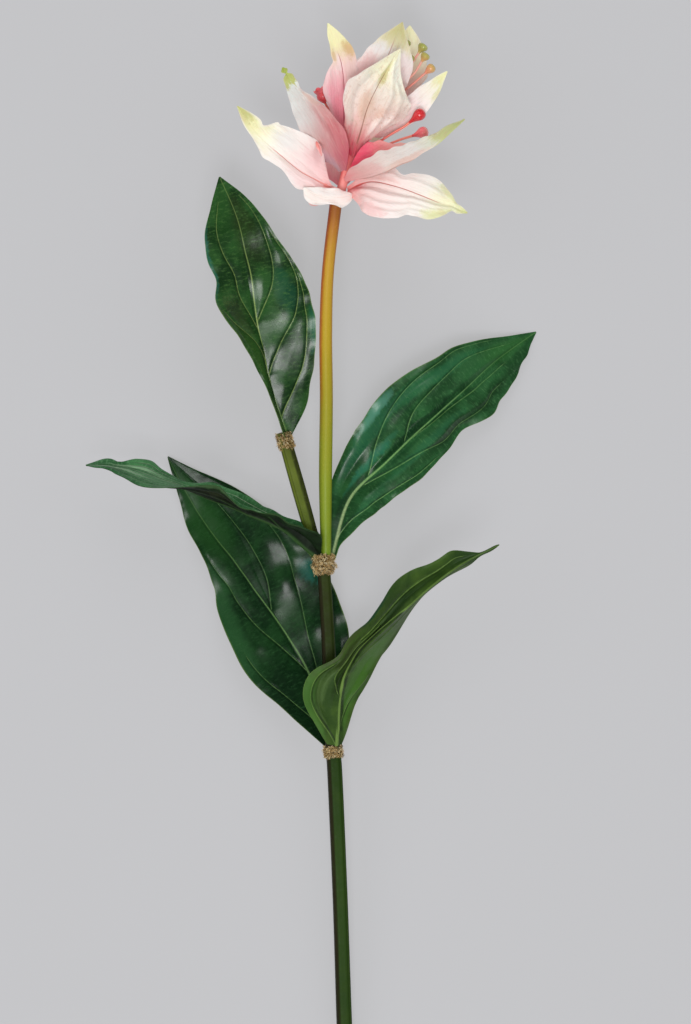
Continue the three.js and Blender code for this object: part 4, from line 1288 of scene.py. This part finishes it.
def bud_parts(path, length, radius, ripeness, crowned, spread_turn):
    """One bud and its stalk, as two closed meshes. Stalks from one place start at turns about it."""
    path = np.array(path, float)
    path[0] += 0.5 * np.array([math.cos(spread_turn), 0.1, math.sin(spread_turn)])
    direction = unit(path[-1] - path[-2])
    into_bud = path[-1] + IN_BUD * length * direction
    stalk_rings, around = tube_rings(
        [*path, into_bud], np.array(BUD_STALK_SHAPE) * BUD_STALK_RADIUS, STALK_SIDES, STALK_STEPS)
    progress = around[:, 2]
    stalk = np.stack([progress, 0 * progress + ripeness, 0 * progress], -1)

    level = unit(np.cross(direction, [0.3, 0.1, 1.0]))
    upright = np.cross(level, direction)
    turn = np.linspace(0, 2 * np.pi, BUD_SIDES, endpoint=False)
    out, up = along(GOBLET if crowned else DROP, np.linspace(0, 1, BUD_RINGS)).T[..., None]
    heights = up * length + 0 * turn
    if crowned:
        points_up = np.abs(np.cos(CROWN_POINTS / 2 * turn))
        heights = heights + soft_step(0.8, 0.98, up) * CROWN_HEIGHT * length * points_up
    facets = 1 + 0.03 * np.cos(4 * turn) * soft_step(0.1, 0.6, up)
    centres = path[-1] + heights[..., None] * direction
    bud_rings = round_about(centres, level, upright, np.maximum(out, 0.01) * radius * facets, turn)
    progress = np.repeat(up, len(turn))
    skin = np.stack([progress, 0 * progress + ripeness, 0 * progress + 1], -1)
    return [(*closed_tube(stalk_rings), {"bud": stalk}), (*closed_tube(bud_rings), {"bud": skin})]


def spray_piece(name, finish, slot):
    parts = []
    buds = SPRAYS[name]
    for i, bud in enumerate(buds):
        parts += bud_parts(*bud, name == "bud_spray_left", 2 * math.pi * i / len(buds))
    add_piece(name + "_berries", name, slot, finish, *joined(parts))


# The finishes of this flower

WHITE_PINK = 0xF3E2DE
TIP_YELLOW = 0xE9E6AE
TIP_GREEN = 0xC3CB78
OLIVE = 0xA8A860
CRIMSON = 0xCC2444

LEAF_FINISHES = {
    "leaf_branch": leaf_finish(
        "dark_branch_leaf", dark=0x163216, light=0x285024, fleck=0x527A3C, rib_base=0x6C8C48,
        gloss=0.24, sheen=0.42, relief=0.35,
        washes=[
            [0.78, 0.25, 0.2, 0.5, 0x262E14, 0.5], [0.52, 0.62, 0.12, 0.25, 0x164A36, 0.5],
            [0.85, -0.4, 0.2, 0.5, 0x1E4219, 0.6], [0.3, -0.6, 0.2, 0.5, 0x355C24, 0.6],
            [0.68, -1.0, 0.22, 0.12, 0x2A6658, 0.6], [0.36, 0.98, 0.1, 0.14, 0x1F6450, 0.5],
        ],
    ),
    "leaf_right": leaf_finish(
        "satin_right_leaf", dark=0x1A4020, light=0x28582F, fleck=0x487A48, vein=0x74A05C,
        rib_base=0x9CB07C, gloss=0.27, sheen=0.36, relief=0.35,
        # The teal washes are painted sheen, and the near-black ones are painted shade along the valleys
        washes=[
            [0.34, -0.72, 0.2, 0.26, 0x2A6A4E, 0.4], [0.62, -0.66, 0.24, 0.2, 0x2C6C46, 0.5],
            [0.42, -0.9, 0.12, 0.14, 0x5C9A84, 0.5], [0.3, -0.28, 0.16, 0.14, 0x2A7258, 0.6],
            [0.46, 0.42, 0.24, 0.16, 0x296644, 0.4], [0.5, -0.1, 0.3, 0.08, 0x0F2E18, 0.75],
            [0.4, -0.5, 0.26, 0.08, 0x143820, 0.5], [0.62, 0.66, 0.3, 0.24, 0x142F16, 0.7],
            [0.36, 0.16, 0.2, 0.08, 0x143A20, 0.5], [0.2, 0.55, 0.12, 0.2, 0x2E6A44, 0.4],
            [0.9, -0.2, 0.14, 0.6, 0x2A5C28, 0.6],
        ],
    ),
    "leaf_low_left": leaf_finish(
        "shaded_low_leaf", dark=0x0E2812, light=0x1A3C1C, fleck=0x2E5630, under_dark=0x1C2A12,
        under_light=0x2A3E1C, vein=0x5E8048, rib_base=0x5E8048, gloss=0.25, sheen=0.25, relief=0.12,
        washes=[
            [0.45, -0.9, 0.3, 0.3, 0x264E2A, 0.7], [0.8, -0.5, 0.25, 0.6, 0x21481F, 0.7],
            [0.12, -0.7, 0.24, 0.7, 0x0C2210, 0.8], [0.5, 0.85, 0.06, 0.25, 0x0F5A4E, 0.7],
        ],
    ),
    "leaf_left": leaf_finish(
        # The near-black underside colours are painted shade, for the underside that faces away from the
        # lamps
        "light_left_leaf", dark=0x285830, light=0x447A4A, fleck=0x76A478, under_dark=0x0C1A0A,
        under_light=0x162A12, vein=0xB4CCA6, under_vein=0x2C4A20, rib_base=0x34502A, gloss=0.36,
        sheen=0.16, relief=0.6,
        washes=[
            [0.68, 0.0, 0.16, 0.7, 0x649068, 0.5], [0.25, 0.5, 0.2, 0.6, 0x1E4824, 0.6],
            [0.86, -0.25, 0.18, 0.14, 0xA8C4A4, 0.6], [0.8, 0.3, 0.16, 0.12, 0x9CBC98, 0.5],
            [0.85, 0.05, 0.2, 0.14, 0x22502A, 0.6], [0.82, -0.62, 0.18, 0.16, 0x28562E, 0.6],
        ],
        under_washes=[[0.42, -0.5, 0.14, 0.4, 0x2C2E18, 0.5], [0.5, -0.95, 0.5, 0.12, 0x4C7040, 0.6]],
    ),
    "leaf_front": leaf_finish(
        "matte_front_leaf", dark=0x1B3F22, light=0x27552C, fleck=0x3C6A3C, under_dark=0x2A4318,
        under_light=0x3C561F, under_vein=0x6B8840, rib_base=0x6F8C40, gloss=0.3, sheen=0.24, relief=0.6,
        # The darkest washes, along the valley beside the midrib, are painted shade
        under_washes=[
            [0.25, -0.5, 0.3, 0.5, 0x3F6A22, 0.8], [0.3, 0.5, 0.1, 0.3, 0x2A3614, 0.7],
            [0.18, 0.5, 0.08, 0.16, 0x506A38, 0.6], [0.32, 0.9, 0.14, 0.14, 0x3C4426, 0.6],
            [0.36, 0.17, 0.26, 0.17, 0x1A280E, 0.95], [0.6, 0.28, 0.2, 0.2, 0x20361A, 0.7],
            [0.15, 0.3, 0.12, 0.16, 0x2A4418, 0.6], [0.9, 0.4, 0.15, 0.8, 0x203818, 0.7],
            [0.47, 0.97, 0.12, 0.14, 0x163C26, 0.9], [0.12, 0.9, 0.14, 0.3, 0x44702A, 0.6],
        ],
    ),
}

BRACT_FINISHES = {
    "bract_low_left": bract_finish(
        "bract_low_left_skin", line=0xE8857A, line_to=0.72, line_width=0.9, blotched=0.03,
        pale_edge=0.6,
        inner={
            0.0: 0xEE8C82, 0.09: 0xF2AEAC, 0.22: 0xF4CCCA, 0.45: 0xF3DCD8, 0.62: 0xF6ECE2,
            0.73: 0xF7F1D8, 0.85: 0xEEE8B6, 1.0: 0xCFD088,
        },
        outer={0.0: 0xEC9C96, 0.4: WHITE_PINK, 0.75: TIP_YELLOW, 1.0: TIP_GREEN},
        washes=[
            [0.05, 0.0, 0.14, 0.35, 0xEF7F74, 0.8], [0.3, 0.55, 0.2, 0.4, 0xF0C2C2, 0.6],
            [0.97, 0.4, 0.12, 0.8, OLIVE, 0.6], [0.62, 0.5, 0.14, 0.4, 0xE2DEDC, 0.5],
        ],
    ),
    "bract_low_right": bract_finish(
        "bract_low_right_skin", line=0xCB4A40, line_to=0.8, line_width=0.75, blotched=0.05,
        pale_edge=0.45,
        inner={
            0.0: 0xEE9492, 0.08: 0xF2B6B2, 0.2: 0xF4D2CE, 0.45: 0xF4E2DC, 0.62: 0xEFE6DC,
            0.73: 0xEFEACE, 0.86: 0xF2F0C4, 1.0: 0xD0D48C,
        },
        outer={0.0: 0xEBA0A0, 0.4: WHITE_PINK, 0.75: TIP_YELLOW, 1.0: TIP_GREEN},
        washes=[
            [0.06, 0.1, 0.12, 0.35, 0xE0606A, 0.6], [0.3, 0.85, 0.14, 0.24, 0xF2B4B2, 0.5],
            [0.75, 0.8, 0.14, 0.4, 0xDDDF9C, 0.7], [0.8, -0.85, 0.14, 0.35, 0xC2C488, 0.6],
            [0.3, -0.3, 0.16, 0.2, 0xEAB0A8, 0.4],
        ],
    ),
    "bract_mid_left": bract_finish(
        "bract_mid_left_skin", line=0xC08C8A, line_to=0.12, line_width=0.4, blotched=0.12,
        pale_edge=0.1,
        inner={0.0: CRIMSON, 0.3: 0xE07C88, 0.7: 0xF0C8C4, 1.0: TIP_GREEN},
        outer={
            0.0: 0xB08E92, 0.12: 0xC69092, 0.28: 0xD4B4B0, 0.45: 0xDCD8D4, 0.735: 0xDEE0DA,
            0.765: 0xB9BE74, 1.0: 0x98AA44,
        },
        left_outer={
            0.0: 0xBE6874, 0.14: 0xC26470, 0.34: 0xC87074, 0.5: 0xD09A96, 0.62: 0xDAD0CA,
            0.735: 0xDEE0DA, 0.765: 0xB9BE74, 1.0: 0x98AA44,
        },
        washes=[[0.6, -0.6, 0.1, 0.35, 0xC49A88, 0.5], [0.1, 0.5, 0.12, 0.5, 0xB89AA8, 0.5]],
    ),
    "bract_mid_right": bract_finish(
        "bract_mid_right_skin", line=0xD0A096, line_from=0.1, line_width=0.7, pale_edge=0.1,
        inner={
            0.0: 0xF24864, 0.18: 0xEA5C76, 0.32: 0xF08A8C, 0.52: 0xF0B6AC, 0.76: 0xDDDCB4,
            1.0: 0xBAC07C,
        },
        outer={
            0.0: 0xE49496, 0.14: 0xE4B4B0, 0.35: 0xE4D6CE, 0.6: 0xE6E0DA, 0.74: 0xE0E0CC, 0.8: 0xCACE94,
            1.0: 0xBAC080,
        },
        washes=[[0.5, 0.05, 0.28, 0.3, 0xE2B4A4, 0.6], [0.2, 0.3, 0.14, 0.5, 0xDFA8A4, 0.5]],
    ),
    "bract_front": bract_finish(
        "bract_front_skin", line=0x94604C, line_from=0.06, line_to=0.82, line_width=0.6, blotched=0.35,
        pale_edge=0.3, lumps=0.4,
        inner={0.0: 0xD83C58, 0.3: 0xEC9CA4, 0.7: WHITE_PINK, 1.0: TIP_GREEN},
        outer={
            0.0: 0xD23A58, 0.1: 0xE08488, 0.2: 0xEABAB2, 0.36: 0xECD4CA, 0.6: 0xEEE2D2, 0.78: 0xF6F0CE,
            1.0: 0xFFFBD2,
        },
        washes=[
            [0.38, 0.1, 0.18, 0.35, 0xD8AE92, 0.55], [0.32, -0.35, 0.14, 0.22, 0xD8A88E, 0.5],
            [0.3, 0.75, 0.22, 0.3, 0xEEDCCE, 0.7], [0.74, 0.0, 0.18, 0.18, 0xCCC47E, 0.8],
            [0.22, -0.6, 0.16, 0.5, 0xFAEAE2, 0.85], [0.82, -0.6, 0.2, 0.5, 0xFFFBEA, 0.9],
        ],
    ),
    "bract_left_fold": bract_finish(
        "bract_left_fold_skin", line=0xC0505E, line_to=0.75, blotched=0.08, pale_edge=0.0,
        inner={
            0.0: 0xFC9EAE, 0.2: 0xF8A4B2, 0.4: 0xF4AAB4, 0.56: 0xF6D2D0, 0.7: 0xE6D2B4, 0.8: 0xEEE6B4,
            1.0: 0xF0ECB8,
        },
        outer={0.0: 0xE07084, 0.5: 0xF2C8C8, 0.8: TIP_YELLOW, 1.0: TIP_GREEN},
        washes=[
            [0.48, 0.6, 0.22, 0.7, 0xDFC0B8, 0.75], [0.62, -0.2, 0.1, 0.4, 0xF4DCDA, 0.7],
            [0.72, 0.75, 0.12, 0.5, 0xC8A468, 0.7], [0.7, -0.7, 0.08, 0.3, 0xCFAE80, 0.6],
            [0.4, -0.95, 0.25, 0.25, 0xF2D0D0, 0.7], [0.27, -0.4, 0.12, 0.4, 0xF08E9E, 0.6],
        ],
    ),
    "bract_right_up": bract_finish(
        "bract_right_up_skin", line=0xE8A0A0, line_to=0.5, line_width=0.6, blotched=0.03,
        inner={
            0.0: 0xFAB0B0, 0.3: 0xFCDAD6, 0.6: 0xFCEEEA, 0.78: 0xF4EEDC, 0.88: 0xE8E4B0, 1.0: 0xF2EEB8,
        },
        outer={0.0: 0xE88490, 0.4: WHITE_PINK, 0.75: TIP_YELLOW, 1.0: TIP_GREEN},
        washes=[[0.78, 0.8, 0.12, 0.4, 0xDADA9A, 0.6]],
    ),
    "bract_top": bract_finish(
        "bract_top_skin", line=0xC09080, line_from=0.3, line_to=0.85, line_width=0.7, pale_edge=0.2,
        inner={0.0: 0xE07084, 0.5: WHITE_PINK, 1.0: TIP_GREEN},
        outer={
            0.0: 0xE89C9A, 0.28: 0xF2C8C2, 0.45: 0xF2DCD6, 0.66: 0xE8DED8, 0.78: 0xD6CEA8,
            0.9: 0xC8C28C, 1.0: 0xC8C28E,
        },
        washes=[
            [0.4, 0.6, 0.22, 0.5, 0xD8AAA8, 0.7], [0.5, -0.6, 0.3, 0.6, 0xEEDCDA, 0.8],
            [0.68, 0.55, 0.12, 0.35, 0xE6E2E0, 0.6],
        ],
    ),
    "bract_top_back": bract_finish(
        "bract_top_back_skin", line=0xE8A0A0, line_to=0.5, line_width=0.6, blotched=0.05, pale_edge=0.3,
        inner={0.0: 0xE8949C, 0.35: 0xE8C0BC, 0.6: 0xE8DCC0, 0.8: 0xF6F2CE, 1.0: 0xF4F0BC},
        outer={0.0: 0xE8949C, 0.5: WHITE_PINK, 1.0: TIP_YELLOW},
    ),
}
BACK_BRACT = bract_finish(
    "bract_back_skin", line=0xE07468,
    inner={0.0: 0xE8808C, 0.3: 0xF4C0C0, 0.6: WHITE_PINK, 0.8: TIP_YELLOW, 1.0: TIP_GREEN},
    outer={0.0: 0xE8808C, 0.25: 0xF2BEBC, 0.6: 0xF6E6DE, 0.8: TIP_YELLOW, 1.0: TIP_GREEN},
)

STEM_SKIN = stem_finish(
    "ridged_green_stem", ridge=0x324617, painted_groove_shade=0x10180A, strip=0x251F14, strip_turn=112, strip_half=44,
    body={0.0: 0x203511, 0.3: 0x273F12, 0.48: 0x20360D, 0.56: 0x1E240C, 1.0: 0x303A12},
)
BRANCH_SKIN = stem_finish(
    "ridged_olive_branch", ridge=0x6A782E, painted_groove_shade=0x20260E, strip=0x2A3012, strip_turn=-8,
    strip_half=46,
    body={0.0: 0x48581A, 0.6: 0x525E20, 1.0: 0x464E1C},
)
STALK_SKIN = stalk_finish(
    "ochre_stalk",
    stops={
        0.0: 0x6C8620, 0.2: 0x828E20, 0.42: 0x9A8E1E, 0.6: 0xB09422, 0.82: 0xBA902C, 0.93: 0xAE722A,
        1.0: 0x9A5A28,
    },
    flush_stops={0.0: 0x5C7620, 0.3: 0x7A7C20, 0.5: 0xA8601E, 0.75: 0xA8541E, 1.0: 0x8C3C1E},
)
AXIS_SKIN = stalk_finish(
    "coral_axis",
    stops={0.0: 0xF0ACA6, 0.3: 0xEC8A84, 0.6: 0xDC4C66, 1.0: 0xD85068},
    flush_stops={0.0: 0xE88E86, 0.3: 0xDE605E, 0.6: 0xBC2C48, 1.0: 0xB43048},
)
FIBRE = fibre_finish()
BUD_SKIN = bud_finish()

# The pieces

for number, (name, leaf) in enumerate(LEAVES.items()):
    leaf_slot = "leaf_pale" if name == "leaf_front" else "leaf_dark"
    blade_piece(name, leaf, LEAF_FORM, LEAF_FINISHES[name], leaf_slot, LEAF_SEED + number)
for number, (name, bract) in enumerate(BRACTS.items()):
    bract_skin = BRACT_FINISHES.get(name, BACK_BRACT)
    blade_piece(name, bract, BRACT_FORM, bract_skin, "bract_pink", BRACT_SEED + number)
stem_piece("stem", STEM_SKIN, "stem_green", CORNERS)
stem_piece("side_branch", BRANCH_SKIN, "stem_green", CORNERS)
stem_piece("flower_stalk", STALK_SKIN, "stalk_ochre", 0.0)
stem_piece("flower_axis", AXIS_SKIN, "axis_coral", 0.0)
for number, name in enumerate(TUFTS):
    tuft_piece(name, FIBRE, TUFT_SEED + number)
for name in SPRAYS:
    spray_piece(name, BUD_SKIN, "bud_green" if name == "bud_spray_top" else "bud_red")


# Floor, light and camera

FLOOR_REACH = 6.0
# Softboxes: place, width and height in metres, power in watts, and whether they show in the gloss
SOFTBOXES = {
    "key": [(-0.1, -0.8, 2.7), 1.05, 0.95, 38, True],
    "left": [(-2.2, 0.2, 2.0), 2.0, 2.0, 22, False],
    "right": [(2.2, 0.2, 2.0), 2.0, 2.0, 14, False],
    "top": [(0.2, 2.2, 2.0), 2.0, 2.0, 24, False],
    "foot": [(0.2, -2.2, 2.0), 2.0, 2.0, 10, False],
}
WORLD_COLOUR = (0.95, 0.97, 1.0, 1.0)
WORLD_STRENGTH = 0.27


def add_floor():
    mesh = bpy.data.meshes.new("floor")
    corners = [(-1, -1), (1, -1), (1, 1), (-1, 1)]
    mesh.from_pydata([(x * FLOOR_REACH, y * FLOOR_REACH, 0) for x, y in corners], [], [(0, 1, 2, 3)])
    # The floor glows a little by emission, painted light that pales the shadows on it
    finish = Finish("pale_floor", Roughness=0.9, Specular_IOR_Level=0.1, Emission_Strength=0.375)
    cloud = finish.noise(finish.position(), 1.5, 2, 0.5)
    mesh.materials.append(finish.finish_with(Base_Color=finish.mix(cloud, 0x6E6E72, 0x707074)))
    put_in_scene("floor", mesh)


def add_softbox(name, place, width, height, watts, shows_in_gloss):
    """A soft studio light that looks at the middle of the flower."""
    light = bpy.data.lights.new(name, "AREA")
    light.shape = "RECTANGLE"
    light.size = width
    light.size_y = height
    light.energy = watts
    lamp = put_in_scene(name, light)
    lamp.location = place
    direction = -np.array(place)
    yaw = math.atan2(direction[1], direction[0])
    pitch = math.acos(-direction[2] / np.linalg.norm(direction))
    lamp.rotation_euler = (pitch, 0, yaw - math.pi / 2)
    lamp.visible_glossy = shows_in_gloss


def add_camera():
    """A camera that looks straight down, as the photograph does."""
    camera = bpy.data.cameras.new("camera")
    view_height = PICTURE_HEIGHT_PX * MM_PER_PX
    camera.lens = camera.sensor_width * (CAMERA_HEIGHT - SHARP_PLANE) / view_height
    camera.clip_end = 20
    holder = put_in_scene("camera", camera)
    holder.location = (np.array([0, VIEW_CENTRE_Y, CAMERA_HEIGHT]) + LAYOUT_TO_PART) * MM
    bpy.context.scene.camera = holder


def light_world():
    """An even light from all round, which the gloss of the pieces doesn't show."""
    world = bpy.data.worlds.new("studio")
    bpy.context.scene.world = world
    world.use_nodes = True
    background = world.node_tree.nodes["Background"]
    background.inputs["Color"].default_value = WORLD_COLOUR
    background.inputs["Strength"].default_value = WORLD_STRENGTH
    world.cycles_visibility.glossy = False


add_floor()
add_camera()
for name, softbox in SOFTBOXES.items():
    add_softbox(name + "_softbox", *softbox)
light_world()
bpy.context.scene.view_settings.view_transform = "Standard"
